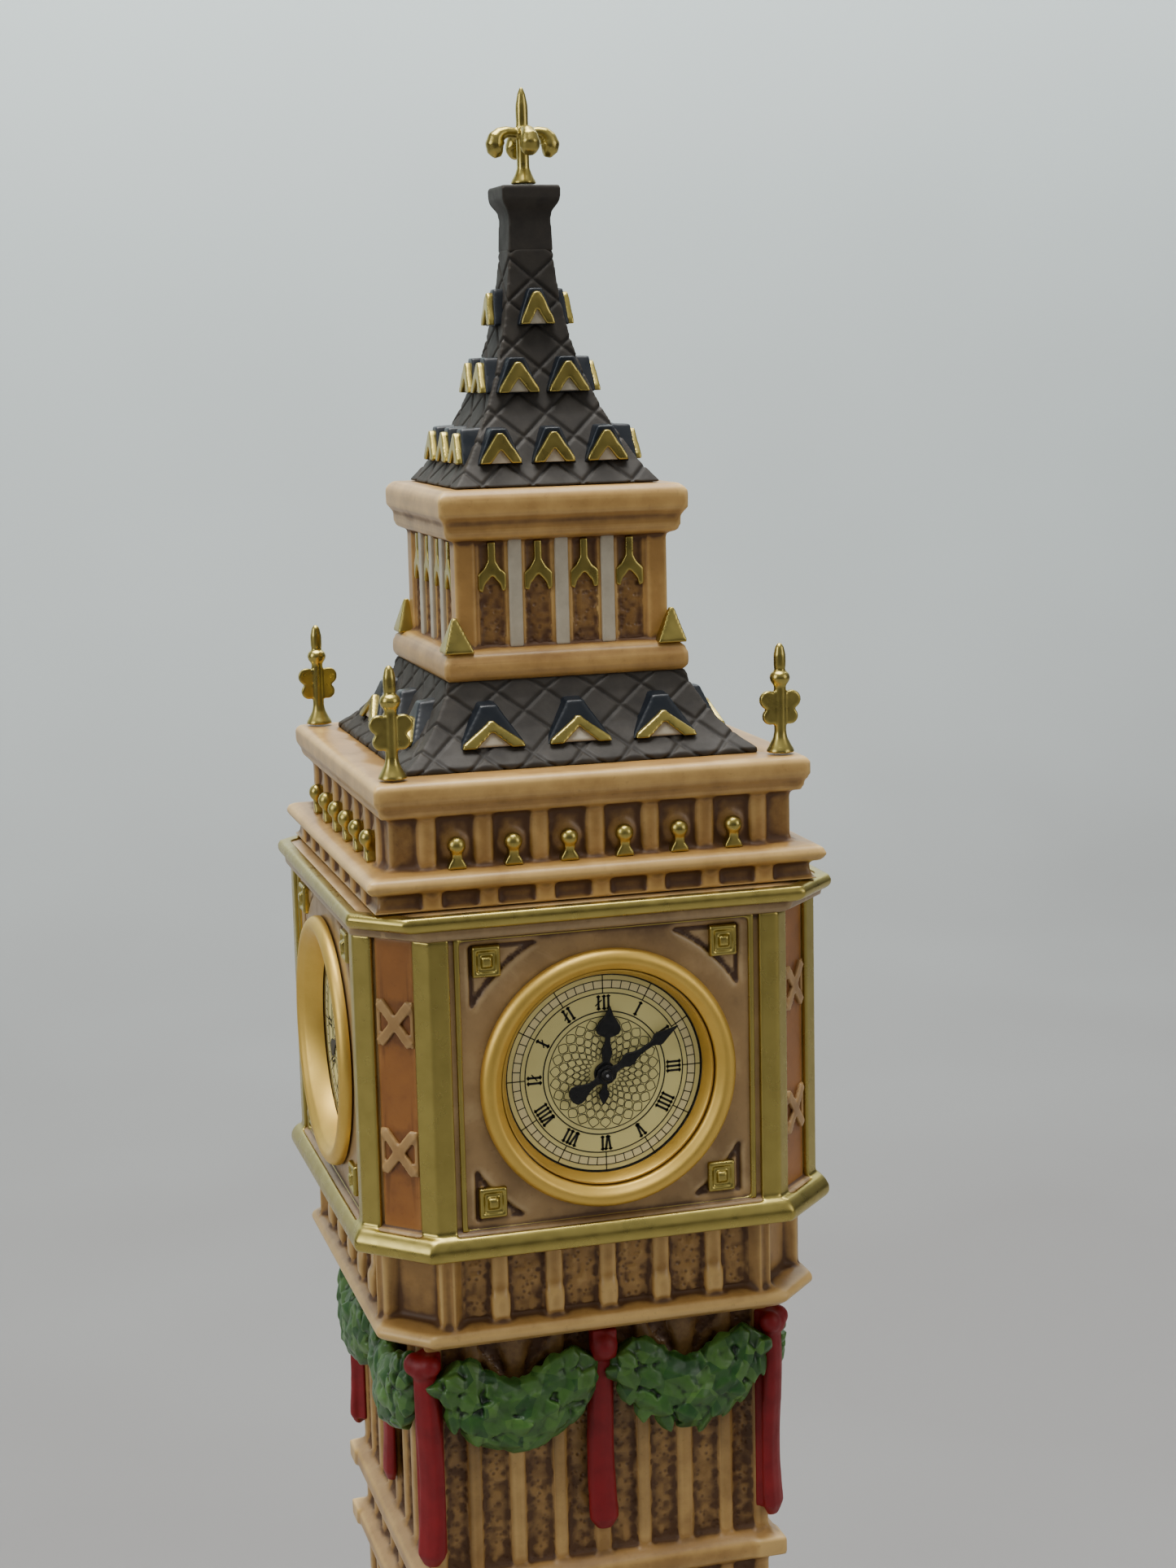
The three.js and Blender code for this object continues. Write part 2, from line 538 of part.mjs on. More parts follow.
// The hands' outlines: the right side upwards, a tip, then the left side down, and a tail
function handOutline(right, tip, tail) {
  const left = right.map(([x, y]) => [-x, y]).reverse();
  return [[0, tail], ...right, [0, tip], ...left];
}

function toothed(teeth, thickness, z0, centreHole) {
  const pitchR = (MODULE * teeth) / 2;
  const tip = pitchR + 0.8 * MODULE;
  const root = pitchR - 1.15 * MODULE;
  const step = (2 * Math.PI) / teeth;
  const outline = Array.from({ length: teeth }, (_, i) => [[root, -0.27], [tip, 0], [root, 0.27]]
    .map(([r, share]) => [r * Math.cos((i + share) * step), r * Math.sin((i + share) * step)])).flat();
  return plate(outline, z0, z0 + thickness, centreHole);
}

const tube = (outer, inner, z0, z1, segments = 12) =>
  closedRing([[inner, z0], [outer, z0], [outer, z1], [inner, z1]], segments);
const turnedBy = (made, degrees) => made.rotate([0, 0, degrees]);
const halfTooth = (teeth) => HALF_TURN / teeth;

function clockInsert() {
  const clock = clockGroup(0);
  const put = (name, made, material) => add(name, made, material, clock);
  const caseFront = DIAL_TOP - 0.8;
  const caseBack = -10.6;

  const bezel = [...RING_FRONT, [15.2, 0.1], [15.2, -1.7], [15.45, -1.7], [15.45, GAP]];
  put("insert_bezel", closedRing(bezel, 32), SATIN_GOLD);
  put("chapter_ring", closedRing([[14.95, 0.4], [14.7, 0.4], [13.9, -1.6], [14.95, -1.6]], 32), SATIN_GOLD);
  put("lens", disc(14.95, 0.7, 1.4, 32), GLASS);
  put("dial", tube(DIAL_R, 1.5, DIAL_TOP - 0.4, DIAL_TOP, 24), DIAL_PAPER);

  const shell = tube(15.4, 14.2, caseBack, -2, 24);
  const front = tube(14.6, 1.7, caseFront - 0.9, caseFront, 24);
  put("movement_case", shell.add(front), PLASTIC);
  put("gasket", tube(16.2, 15.6, -8.6, -4.6, 24), RUBBER);

  // The hour wheel's pipe carries the hour hand, and the cannon pinion's arbor runs inside it
  const hourWheel = toothed(HOUR_WHEEL_TEETH, 0.7, -5.4, 0.75).add(tube(1.2, 0.75, -5.4, -1.55));
  put("hour_wheel", hourWheel, BRASS);
  const leaves = turnedBy(toothed(CANNON_TEETH, 0.9, -6.8, 0), halfTooth(CANNON_TEETH));
  put("cannon_pinion", leaves.add(disc(0.6, -7.6, -0.35, 16)), STEEL);
  const hourHand = plate(handOutline(HOUR_OUTLINE_RIGHT, 9.3, -4), -1.45, -1.2, 0.75);
  put("hour_hand", turnedBy(hourHand, HOUR_ANGLE), BLACK);
  const minuteHand = plate(handOutline(MINUTE_OUTLINE_RIGHT, 11.8, -4.3), -0.9, -0.65, 0.7);
  put("minute_hand", turnedBy(minuteHand, MINUTE_ANGLE), BLACK);

  // The minute wheel stands beside them and joins the two, and the setting knob is on its arbor
  const wheel = turnedBy(toothed(MINUTE_WHEEL_TEETH, 0.7, -6.7, 0), HALF_TURN);
  const pinion = turnedBy(toothed(PINION_TEETH, 1.6, -6.1, 0), HALF_TURN + halfTooth(PINION_TEETH));
  const minuteWheel = joined([wheel, pinion, disc(0.6, -9.5, -4.2, 12)]).translate([WHEEL_OFFSET, 0, 0]);
  put("minute_wheel", minuteWheel, BRASS);
  const knob = joined([disc(1.1, -11.5, -9.9, 12), disc(2.4, -12.7, -11.2, 20)]);
  put("setting_knob", knob.translate([WHEEL_OFFSET, 0, 0]), BLACK);

  // The rear cover has a hole for the knob and a round hatch over the button cell
  const cellX = -6.8;
  const hatchR = 4.6;
  const cover = disc(13.9, caseBack, caseBack + 0.9, 24);
  const knobHole = disc(1.4, -12, -9, 16).translate([WHEEL_OFFSET, 0, 0]);
  const hatchHole = disc(hatchR, -12, -9, 24).translate([cellX, 0, 0]);
  put("rear_cover", cover.subtract(joined([knobHole, hatchHole])), PLASTIC);
  const coinSlot = block(-3, 3, -0.4, 0.4, -12, -10.2);
  const hatch = disc(hatchR - 0.2, caseBack, caseBack + 0.8, 24).subtract(coinSlot);
  put("battery_hatch", hatch.translate([cellX, 0, 0]), PLASTIC);
  put("button_cell", disc(3.4, -9.4, -6.8, 24).translate([cellX, 0, 0]), STEEL);
  put("circuit_board", block(-10.2, -3.2, -9.2, -4.9, -6.4, -5.6), BOARD);
  put("motor_coil", joined([disc(1.2, -4, 4, 12), disc(1.7, -4.4, -3.6, 12), disc(1.7, 3.6, 4.4, 12)])
    .rotate([0, 90, 0]).translate([0, 9.6, -6.6]), COPPER);
}

function fixedClock(side, quarter) {
  const group = clockGroup(quarter);
  add(`${side}_ring`, fixedRing(), SATIN_GOLD, group);
  add(`${side}_dial`, fixedDial(), DIAL_PAPER, group);
}

// ---- assembly ----
add("plinth", plinth(), PORCELAIN);
add("lower_shaft", lowerShaft(), PORCELAIN);
add("upper_shaft", upperShaft(), PORCELAIN);
add("corbel_stage", corbelStage(), PORCELAIN);
add("clock_stage", clockStage(), PORCELAIN);
add("gallery", gallery(), PORCELAIN);
add("lower_roof", lowerRoof(), SLATE);
add("belfry", belfry(), PORCELAIN);
add("spire_roof", spireRoof(), SLATE);
add("spire_cap", spireCap(), SLATE);
add("top_finial", topFinial(), GOLD);

const SIDES = ["front", "right", "back", "left"]; // each a quarter turn further round
const CORNERS = ["front_left", "front_right", "back_right", "back_left"];
const FINIAL_AT = 27.2;
const SWAG_NEAR = 4.1;
const SWAG_FAR = 21.6;

CORNERS.forEach((corner, i) => {
  const x = i === 0 || i === 3 ? -FINIAL_AT : FINIAL_AT;
  const y = i < 2 ? -FINIAL_AT : FINIAL_AT;
  add(`finial_${corner}`, cornerFinial().translate([x, y, SLAB_TOP + GAP]), GOLD);
  add(`ribbon_${corner}`, cornerRibbon().rotate([0, 0, -45 + 90 * i]), RIBBON);
});

SIDES.forEach((side, i) => {
  const turn = [0, 0, 90 * i];
  add(`ribbon_${side}`, middleRibbon().rotate(turn), RIBBON);
  add(`garland_${side}_a`, swag(-SWAG_FAR, -SWAG_NEAR).rotate(turn), LEAF);
  add(`garland_${side}_b`, swag(SWAG_NEAR, SWAG_FAR).rotate(turn), LEAF);
  if (i > 0) fixedClock(side, i);
});

clockInsert();

export default tower;
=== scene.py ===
"""Looks for a miniature porcelain clock tower: cast and hand-painted porcelain, gilding, applied garlands
and a clock insert. Shapes are made in millimetres in the frame's own axes (Z up, the working clock faces -Y)
and turned into metres at the end. A height inside at() or raised() is from the dials' centre."""

import math

import bmesh
import bpy
import numpy as np
from mathutils import Matrix, Vector


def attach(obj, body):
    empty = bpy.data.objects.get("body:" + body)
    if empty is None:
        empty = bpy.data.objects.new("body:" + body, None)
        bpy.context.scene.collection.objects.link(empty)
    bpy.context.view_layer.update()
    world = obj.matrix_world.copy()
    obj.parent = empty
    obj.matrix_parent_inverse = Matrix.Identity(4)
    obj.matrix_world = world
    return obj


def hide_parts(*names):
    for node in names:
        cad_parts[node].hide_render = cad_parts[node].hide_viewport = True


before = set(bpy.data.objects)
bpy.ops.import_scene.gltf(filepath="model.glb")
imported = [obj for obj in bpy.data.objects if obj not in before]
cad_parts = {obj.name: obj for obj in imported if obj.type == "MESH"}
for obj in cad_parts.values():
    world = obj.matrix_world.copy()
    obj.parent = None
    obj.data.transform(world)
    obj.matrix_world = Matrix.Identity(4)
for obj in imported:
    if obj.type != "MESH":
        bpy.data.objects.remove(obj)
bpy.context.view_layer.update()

MM = 0.001
CLOCK_Z = 225.0  # height of the dials' centre
SHAFT_SPLIT = 112.0  # where the two lengths of the shaft meet
PLINTH_TOP = 32.0
INLET_Z = 54.0  # middle of the hole for a light
INLET_R = 12.0
SHAFT = 24.1  # half width of the shaft's panels
HOLLOW = 20.6  # half width of the hollow inside
RIB_BACK, RIB_FACE = 23.5, 25.1
PANEL_Y = 32.3  # plane of the dial panels
CROSSES = (9.2, -8.7)  # heights of the crosses on the cut corners
BAY = 7.75  # pitch of the gallery's bays
BELFRY_BAY = 6.6
FINIAL_AT = 27.2
RIBBON_Y, CORNER_RIBBON_Y = 25.3, 35.6
SWAG_Z, SWAG_DROP = -41.3, 7.7  # height of a garland's ends from the dials' centre, and how far it hangs
TRACK = (11.9, 13.0)  # radii of a dial's minute track
NUMERAL = (8.95, 10.85)  # and of its numerals
FOUR = (0, 90, 180, 270)
SIDES = ("front", "right", "back", "left")
CORNERS = (("front_left", -1, -1), ("front_right", 1, -1), ("back_right", 1, 1), ("back_left", -1, 1))
HASH = np.array([374761393, 668265263, 2147483647])


# ---------------------------------------------------------------- shapes
# A part is (points, faces), in millimetres.
def block(x0, x1, y0, y1, z0, z1):
    points = [(x, y, z) for z in (z0, z1) for x, y in ((x0, y0), (x1, y0), (x1, y1), (x0, y1))]
    faces = [(3, 2, 1, 0), (4, 5, 6, 7), (0, 1, 5, 4), (1, 2, 6, 5), (2, 3, 7, 6), (3, 0, 4, 7)]
    return np.array(points, float), faces


def core(half, z0, z1):
    """A square block about the middle of the tower."""
    return block(-half, half, -half, half, z0, z1)


def row(count, pitch, half, y0, y1, z0, z1):
    """A row of equal uprights on the front face."""
    return [block(x - half, x + half, y0, y1, z0, z1) for x in spread(count, pitch)]


def loft(rings, closed=False):
    """A skin over rings of points. The ends are capped, or joined to each other when closed."""
    n, m = len(rings[0]), len(rings)
    faces = []
    for k in range(m if closed else m - 1):
        a, b = k * n, ((k + 1) % m) * n
        faces += [(a + i, a + (i + 1) % n, b + (i + 1) % n, b + i) for i in range(n)]
    if not closed:
        faces += [tuple(range(n))[::-1], tuple((m - 1) * n + i for i in range(n))]
    return np.array([p for ring in rings for p in ring], float), faces


def square_ring(w, z):
    return [(-w, -w, z), (w, -w, z), (w, w, z), (-w, w, z)]


def eight_ring(w, c, z):
    s = w - c
    return [(-s, -w, z), (s, -w, z), (w, -s, z), (w, s, z), (s, w, z), (-s, w, z), (-w, s, z), (-w, -s, z)]


def square(profile, closed=False):
    return loft([square_ring(w, z) for w, z in profile], closed)


def eight(profile, closed=False):
    return loft([eight_ring(w, c, z) for w, c, z in profile], closed)


def prism(outline, z0, z1):
    """An outline of (x, y) points, pulled up in Z."""
    return loft([[(x, y, z) for x, y in outline] for z in (z0, z1)])


def relief(outline, back, front):
    """An outline of (x, z) points on the front face, pulled out from back to front."""
    return loft([[(x, -y, z) for x, z in outline] for y in (back, front)])


def turned(profile, sides=48, closed=False):
    """A round section about Z from (radius, height) points."""
    angles = [2 * math.pi * i / sides for i in range(sides)]
    rings = [[(r * math.cos(a), r * math.sin(a), z) for a in angles] for r, z in profile]
    return loft(rings, closed)


def disc(radius, back, front, sides, place):
    """A round plug that faces the front, from back to front of its place."""
    return moved(spun(turned([(radius, back), (radius, front)], sides), 90, 0), place)


def ball(centre, radius):
    steps = [math.pi * (k + 0.5) / 10 for k in range(10)]
    part = turned([(radius * math.sin(a), -radius * math.cos(a)) for a in steps], 20)
    return moved(part, centre)


def moved(part, offset):
    return part[0] + np.array(offset, float), part[1]


def spun(part, degrees, axis=2):
    matrix = np.array(Matrix.Rotation(math.radians(degrees), 3, "XYZ"[axis]))
    return part[0] @ matrix.T, part[1]


def four(parts, sides=FOUR):
    return [spun(part, angle) for part in parts for angle in sides]


def spread(count, pitch):
    return [(i - (count - 1) / 2) * pitch for i in range(count)]


def arm_tube(path, radii, sides=14):
    """A round bar along a path of (x, z) points in the plane y = 0."""
    rings = []
    for k, (x, z) in enumerate(path):
        x0, z0 = path[max(k - 1, 0)]
        x1, z1 = path[min(k + 1, len(path) - 1)]
        length = math.hypot(x1 - x0, z1 - z0)
        nx, nz = -(z1 - z0) / length, (x1 - x0) / length
        ring = []
        for a in (2 * math.pi * i / sides for i in range(sides)):
            u, v = radii[k] * math.cos(a), radii[k] * math.sin(a)
            ring.append((x + nx * v, u, z + nz * v))
        rings.append(ring)
    return loft(rings)


# ---------------------------------------------------------------- meshes
def mesh_object(name, parts):
    points, faces, first = [], [], 0
    for verts, part_faces in parts:
        points.append(verts)
        faces += [tuple(i + first for i in face) for face in part_faces]
        first += len(verts)
    mesh = bpy.data.meshes.new(name)
    mesh.from_pydata(np.concatenate(points).tolist(), [], faces)
    bm = bmesh.new()
    bm.from_mesh(mesh)
    bmesh.ops.recalc_face_normals(bm, faces=bm.faces)
    bm.to_mesh(mesh)
    bm.free()
    obj = bpy.data.objects.new(name, mesh)
    bpy.context.scene.collection.objects.link(obj)
    return obj


def apply(obj, kind, **settings):
    """Runs one modifier on obj and keeps its result."""
    modifier = obj.modifiers.new("step", kind)
    for key, value in settings.items():
        setattr(modifier, key, value)
    graph = bpy.context.evaluated_depsgraph_get()
    mesh = bpy.data.meshes.new_from_object(obj.evaluated_get(graph))
    obj.modifiers.clear()
    old, obj.data = obj.data, mesh
    bpy.data.meshes.remove(old)
    return obj


def cut(obj, cutters):
    tool = mesh_object("cutter", cutters)
    apply(obj, "BOOLEAN", operation="DIFFERENCE", object=tool, solver="EXACT")
    bpy.data.objects.remove(tool)
    return obj


def points_of(mesh):
    co = np.empty(len(mesh.vertices) * 3, np.float32)
    mesh.vertices.foreach_get("co", co)
    return co.reshape(-1, 3).astype(float)


def put_points(mesh, co):
    mesh.vertices.foreach_set("co", co.astype(np.float32).ravel())
    mesh.update()


def normals_of(mesh):
    out = np.empty(len(mesh.vertices) * 3, np.float32)
    mesh.vertex_normals.foreach_get("vector", out)
    return out.reshape(-1, 3).astype(float)


def relaxed(co, a, b, share, rounds, amount=0.6):
    """The points after some rounds of moving each towards the middle of its neighbours."""
    n = len(co)
    for _ in range(rounds):
        total = np.stack([
            np.bincount(a, co[b, i], n) + np.bincount(b, co[a, i], n) for i in range(3)
        ], 1)
        co = co + amount * (total / share - co)
    return co


def keep_value(mesh, name, values):
    attribute = mesh.attributes.new(name, "FLOAT", "POINT")
    attribute.data.foreach_set("value", np.ascontiguousarray(values, np.float32))


def noise(co, size, seed=0):
    """Smooth noise from -1 to 1 at a size in millimetres, the same on every run."""
    p = co / size + seed * 17.31
    cell = np.floor(p).astype(np.int64)
    f = p - cell
    f = f * f * (3 - 2 * f)
    total = np.zeros(len(co))
    for corner in ((x, y, z) for x in (0, 1) for y in (0, 1) for z in (0, 1)):
        h = (cell + corner) @ HASH
        h = (h ^ (h >> 13)) * 1274126177
        value = ((h ^ (h >> 16)) & 0xFFFF) / 32767.5 - 1
        total += value * np.where(corner, f, 1 - f).prod(axis=1)
    return total


def cast(name, parts, voxel, soften, carve=None, keep=0.4, hollow=None):
    """Parts fused into one skin with soft edges, as cast porcelain has.
    carve(points, normals) gives the depth of fine relief, and hollow is cut out at the end.
    Each point keeps two numbers: how far it lies in a narrow crease, and in a broad one."""
    obj = apply(mesh_object(name, parts), "REMESH", mode="VOXEL", voxel_size=voxel, adaptivity=0.0)
    mesh = obj.data
    edges = np.empty(len(mesh.edges) * 2, np.int32)
    mesh.edges.foreach_get("vertices", edges)
    a, b = edges.reshape(-1, 2).T
    share = np.bincount(edges, minlength=len(mesh.vertices))
    share = np.maximum(share, 1)[:, None]
    co = relaxed(points_of(mesh), a, b, share, soften)
    put_points(mesh, co)
    if carve:
        n = normals_of(mesh)
        co = co + n * carve(co, n)[:, None]
        put_points(mesh, co)
    n = normals_of(mesh)
    near = relaxed(co, a, b, share, 8)
    far = relaxed(near, a, b, share, 40)
    keep_value(mesh, "crease", np.einsum("ij,ij->i", near - co, n) / voxel)
    keep_value(mesh, "hollow", np.einsum("ij,ij->i", far - co, n) / voxel)
    if keep < 1:
        apply(obj, "DECIMATE", decimate_type="COLLAPSE", ratio=keep)
    if hollow:
        cut(obj, hollow)
    return finished(obj)


def finished(obj, smooth=True):
    obj.data.transform(Matrix.Scale(MM, 4))
    obj.data.polygons.foreach_set("use_smooth", [smooth] * len(obj.data.polygons))
    obj.data.update()
    return obj


def place(obj, material, slot, nodes=(), body="tower"):
    obj.data.materials.clear()
    obj.data.materials.append(material)
    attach(obj, body)
    if nodes:
        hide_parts(*nodes)


# ---------------------------------------------------------------- materials
def srgb(*rgb):
    """A display colour from 0 to 255 as a linear one."""
    return tuple(c / 255 / 12.92 if c <= 10 else ((c / 255 + 0.055) / 1.055) ** 2.4 for c in rgb) + (1.0,)


class Paint:
    """A small builder of a node material."""

    def __init__(self, name, **uniform):
        self.material = bpy.data.materials.new(name)
        self.material.use_nodes = True
        self.tree = self.material.node_tree
        self.shader = self.tree.nodes["Principled BSDF"]
        for socket, value in uniform.items():
            self.shader.inputs[socket.replace("_", " ")].default_value = value
        self.place = self.node("ShaderNodeTexCoord").outputs["Object"]

    def node(self, kind, inputs=None, **settings):
        made = self.tree.nodes.new(kind)
        for key, value in settings.items():
            setattr(made, key, value)
        for key, value in (inputs or {}).items():
            self.link(value, made.inputs[key])
        return made

    def link(self, value, socket):
        if isinstance(value, bpy.types.NodeSocket):
            self.tree.links.new(value, socket)
        else:
            socket.default_value = value

    def noise(self, size, detail=3.0, rough=0.55):
        """Noise from 0 to 1 with features of a size in millimetres."""
        inputs = {"Vector": self.place, "Scale": 1 / (size * MM), "Detail": detail, "Roughness": rough}
        return self.node("ShaderNodeTexNoise", inputs).outputs["Fac"]

    def cells(self, size, output="Distance"):
        inputs = {"Vector": self.place, "Scale": 1 / (size * MM)}
        return self.node("ShaderNodeTexVoronoi", inputs).outputs[output]

    def kept(self, name):
        return self.node("ShaderNodeAttribute", attribute_name=name).outputs["Fac"]

    def math(self, operation, a, b, c=0.0):
        return self.node("ShaderNodeMath", {0: a, 1: b, 2: c}, operation=operation).outputs[0]

    def scaled(self, value, low, high, to_low=0.0, to_high=1.0):
        inputs = {"Value": value, "From Min": low, "From Max": high, "To Min": to_low, "To Max": to_high}
        return self.node("ShaderNodeMapRange", inputs).outputs[0]

    def mix(self, factor, a, b):
        made = self.node("ShaderNodeMix", data_type="RGBA")
        for value, socket in zip((factor, a, b), (0, 6, 7)):
            self.link(value, made.inputs[socket])
        return made.outputs[2]

    def bump(self, height, depth, strength=1.0, after=None):
        inputs = {"Height": height, "Distance": depth * MM, "Strength": strength}
        if after:
            inputs["Normal"] = after
        return self.node("ShaderNodeBump", inputs).outputs["Normal"]

    def finish(self, color, roughness, normal=None):
        self.link(color, self.shader.inputs["Base Color"])
        self.link(roughness, self.shader.inputs["Roughness"])
        if normal:
            self.link(normal, self.shader.inputs["Normal"])
        return self.material


def porcelain_paint(name, pale, body, dark, stipple=0.0):
    """Matt porcelain: a brown antiquing glaze that has run into the creases and is deepened there by painted
    shade, and pale on edges where it was wiped off, lightened further by a painted highlight.
    """
    p = Paint(name, IOR=1.5, Coat_Weight=0.06, Coat_Roughness=0.3)
    patches = p.noise(6.0, 4.0, 0.6)
    specks = p.noise(0.9, 3.0, 0.6)
    crease, hollow = p.kept("crease"), p.kept("hollow")
    deep = p.math("MULTIPLY_ADD", crease, 2.2, p.math("MULTIPLY", hollow, 0.6))
    deep = p.math("ADD", deep, p.scaled(patches, 0.3, 0.7, -0.3, 0.3))
    # Darker in creases and hollows: brown antiquing glaze, with painted shade on top.
    wash_and_shade = p.scaled(deep, 0.1, 0.95)
    # Pale on convex edges: glaze rubbed off, with a painted highlight.
    worn_and_highlit = p.scaled(deep, -0.2, -1.3)
    color = p.mix(p.scaled(patches, 0.35, 0.7), body, p.mix(0.3, body, dark))
    # Recess zones darker: brown glaze left standing, with painted shade.
    color = p.mix(p.math("MULTIPLY", p.kept("recess"), p.scaled(specks, 0.2, 0.8, 0.45, 1.0)), color, dark)
    # The brown glaze and painted shade of the creases and hollows.
    color = p.mix(p.math("MULTIPLY", wash_and_shade, 0.9), color, dark)
    # The pale edges, rubbed wear with a painted highlight, show less in the recesses.
    pale_edge_share = p.math("SUBTRACT", 0.6, p.math("MULTIPLY", p.kept("recess"), 0.55))
    color = p.mix(p.math("MULTIPLY", worn_and_highlit, pale_edge_share), color, pale)
    color = p.mix(p.scaled(specks, 0.62, 0.85, 0.0, 0.35), color, dark)
    grain = p.noise(0.35, 2.0)
    normal = p.bump(grain, 0.02, 0.5)
    if stipple:
        rough_patch = p.kept("stipple")
        pits = p.math("MULTIPLY", p.scaled(p.cells(0.9), 0.1, 0.4), rough_patch)
        ground = p.math("MULTIPLY", rough_patch, 0.7)
        # Dark in the pits: brown glaze settled there, with painted shade.
        color = p.mix(p.math("MULTIPLY", p.math("SUBTRACT", 1.0, pits), ground), color, dark)
        normal = p.bump(pits, 0.12, 0.8, normal)
    return p.finish(color, p.scaled(wash_and_shade, 0, 1, 0.36, 0.6), normal)


def flat_paint(name, color, dark, roughness, mottle, pale=None):
    """One coat of paint, thinner in patches, with painted shade in creases, and pale on edges where it is
    rubbed, also as a painted highlight.
    """
    p = Paint(name)
    patches = p.noise(3.0, 4.0, 0.6)
    brush = p.noise(0.5, 3.0, 0.6)
    shade = p.mix(p.scaled(patches, 0.35, 0.75, 0.0, mottle), color, dark)
    crease = p.kept("crease")
    # Painted shade in the creases.
    shade = p.mix(p.scaled(crease, 0.15, 0.9, 0.0, 0.75), shade, dark)
    # Pale on convex edges: rubbed wear with a painted highlight.
    if pale:
        shade = p.mix(p.scaled(crease, -0.2, -0.9, 0.0, 0.7), shade, pale)
    normal = p.bump(brush, 0.03, 0.5)
    return p.finish(shade, p.scaled(patches, 0.3, 0.7, roughness - 0.06, roughness + 0.08), normal)


def leaf_paint(name, color, dark, pale):
    """Glaze that differs a little from leaf to leaf, with painted shade between the leaves and a yellow
    painted highlight on their keels.
    """
    p = Paint(name, Coat_Weight=0.15, Coat_Roughness=0.25)
    shade = p.mix(p.scaled(p.cells(2.6, "Color"), 0.2, 0.9, 0.0, 0.8), color, pale)
    shade = p.mix(p.scaled(p.noise(3.0), 0.4, 0.75, 0.0, 0.4), shade, dark)
    crease = p.kept("crease")
    # Painted shade between the leaves.
    shade = p.mix(p.scaled(crease, 0.04, 0.5, 0.0, 0.9), shade, dark)
    # Painted highlight on the keels.
    shade = p.mix(p.scaled(crease, -0.1, -0.6, 0.0, 0.6), shade, pale)
    fine = p.noise(0.5, 3.0, 0.6)
    return p.finish(shade, p.scaled(fine, 0.3, 0.7, 0.38, 0.5), p.bump(fine, 0.03, 0.5))


def metal(name, color, dark, roughness, brush=0.9, depth=0.008):
    """Metal or metal paint with faint waves of the brush, in millimetres long and deep, and painted shade in
    its creases.
    """
    p = Paint(name, Metallic=1.0)
    patches = p.noise(3.5, 3.0, 0.5)
    fine = p.noise(brush, 1.0, 0.5)
    shade = p.mix(p.scaled(patches, 0.35, 0.75, 0.0, 0.35), color, dark)
    # Painted shade in the creases.
    shade = p.mix(p.scaled(p.kept("crease"), 0.15, 0.9, 0.0, 0.8), shade, dark)
    rough = p.scaled(fine, 0.3, 0.7, roughness - 0.03, roughness + 0.06)
    return p.finish(shade, rough, p.bump(fine, depth, 0.15))


def glass_paint(name):
    p = Paint(name, IOR=1.6, Alpha=0.025)
    smear = p.noise(9.0, 2.0)
    tint = p.mix(smear, (0.01, 0.01, 0.01, 1), (0.02, 0.02, 0.02, 1))
    return p.finish(tint, p.scaled(smear, 0.4, 0.7, 0.01, 0.03))


def plastic_paint(name, color, roughness):
    p = Paint(name)
    fine = p.noise(0.25, 2.0)
    shade = p.mix(p.noise(4.0), color, tuple(c * 0.85 for c in color[:3]) + (1.0,))
    rough = p.scaled(fine, 0, 1, roughness - 0.08, roughness + 0.08)
    return p.finish(shade, rough, p.bump(fine, 0.02, 0.5))


TAN = srgb(180, 138, 76)
IVORY = srgb(236, 198, 126)
# The brown of the antiquing glaze, also used as painted shade in creases and recesses; the third colour of
# each porcelain paint below plays the same part.
WASH_AND_SHADE = srgb(82, 50, 24)
PORCELAIN = porcelain_paint("porcelain", IVORY, TAN, WASH_AND_SHADE)
STIPPLED = porcelain_paint("porcelain_stippled", IVORY, TAN, WASH_AND_SHADE, stipple=1.0)
STAGE = porcelain_paint("porcelain_stage", srgb(222, 194, 146), srgb(170, 138, 92), srgb(78, 50, 30))
CROSS = porcelain_paint("porcelain_cross", srgb(206, 168, 112), srgb(168, 128, 76), srgb(84, 48, 22))
ORANGE = porcelain_paint("porcelain_orange", srgb(200, 146, 84), srgb(166, 106, 46), srgb(84, 46, 20))
SLATE = flat_paint("slate", srgb(46, 40, 32), srgb(18, 15, 13), 0.64, 0.6, pale=srgb(70, 61, 49))
NAVY = flat_paint("navy_glaze", srgb(14, 22, 31), srgb(7, 11, 16), 0.38, 0.4, pale=srgb(32, 43, 54))
WHITE = flat_paint("white_glaze", srgb(196, 188, 168), srgb(112, 98, 74), 0.4, 0.35)
GOLD = metal("gold_paint", (0.52, 0.42, 0.12, 1), (0.3, 0.23, 0.06, 1), 0.29, 1.8, 0.01)
SATIN = metal("satin_gold", (0.86, 0.58, 0.14, 1), (0.66, 0.42, 0.08, 1), 0.46, 0.3, 0.004)
LEAF = leaf_paint("leaf_glaze", srgb(34, 84, 28), srgb(6, 22, 9), srgb(98, 142, 60))
RIBBON = flat_paint("ribbon_glaze", srgb(142, 5, 16), srgb(70, 3, 8), 0.52, 0.4, pale=srgb(160, 16, 28))
DIAL = plastic_paint("dial_card", srgb(248, 235, 156), 0.55)
CREAM = plastic_paint("dial_cream", srgb(252, 238, 180), 0.55)
INK = plastic_paint("dial_ink", srgb(14, 12, 11), 0.6)
BLACK = plastic_paint("black_enamel", srgb(6, 6, 7), 0.5)
LENS = glass_paint("lens_glass")
CASE = plastic_paint("case_plastic", srgb(214, 210, 198), 0.5)
RUBBER = plastic_paint("gasket_rubber", srgb(24, 24, 25), 0.8)
BOARD = plastic_paint("board_green", srgb(28, 92, 60), 0.5)
BRASS = metal("wheel_brass", (0.62, 0.45, 0.18, 1), (0.45, 0.31, 0.1, 1), 0.3)
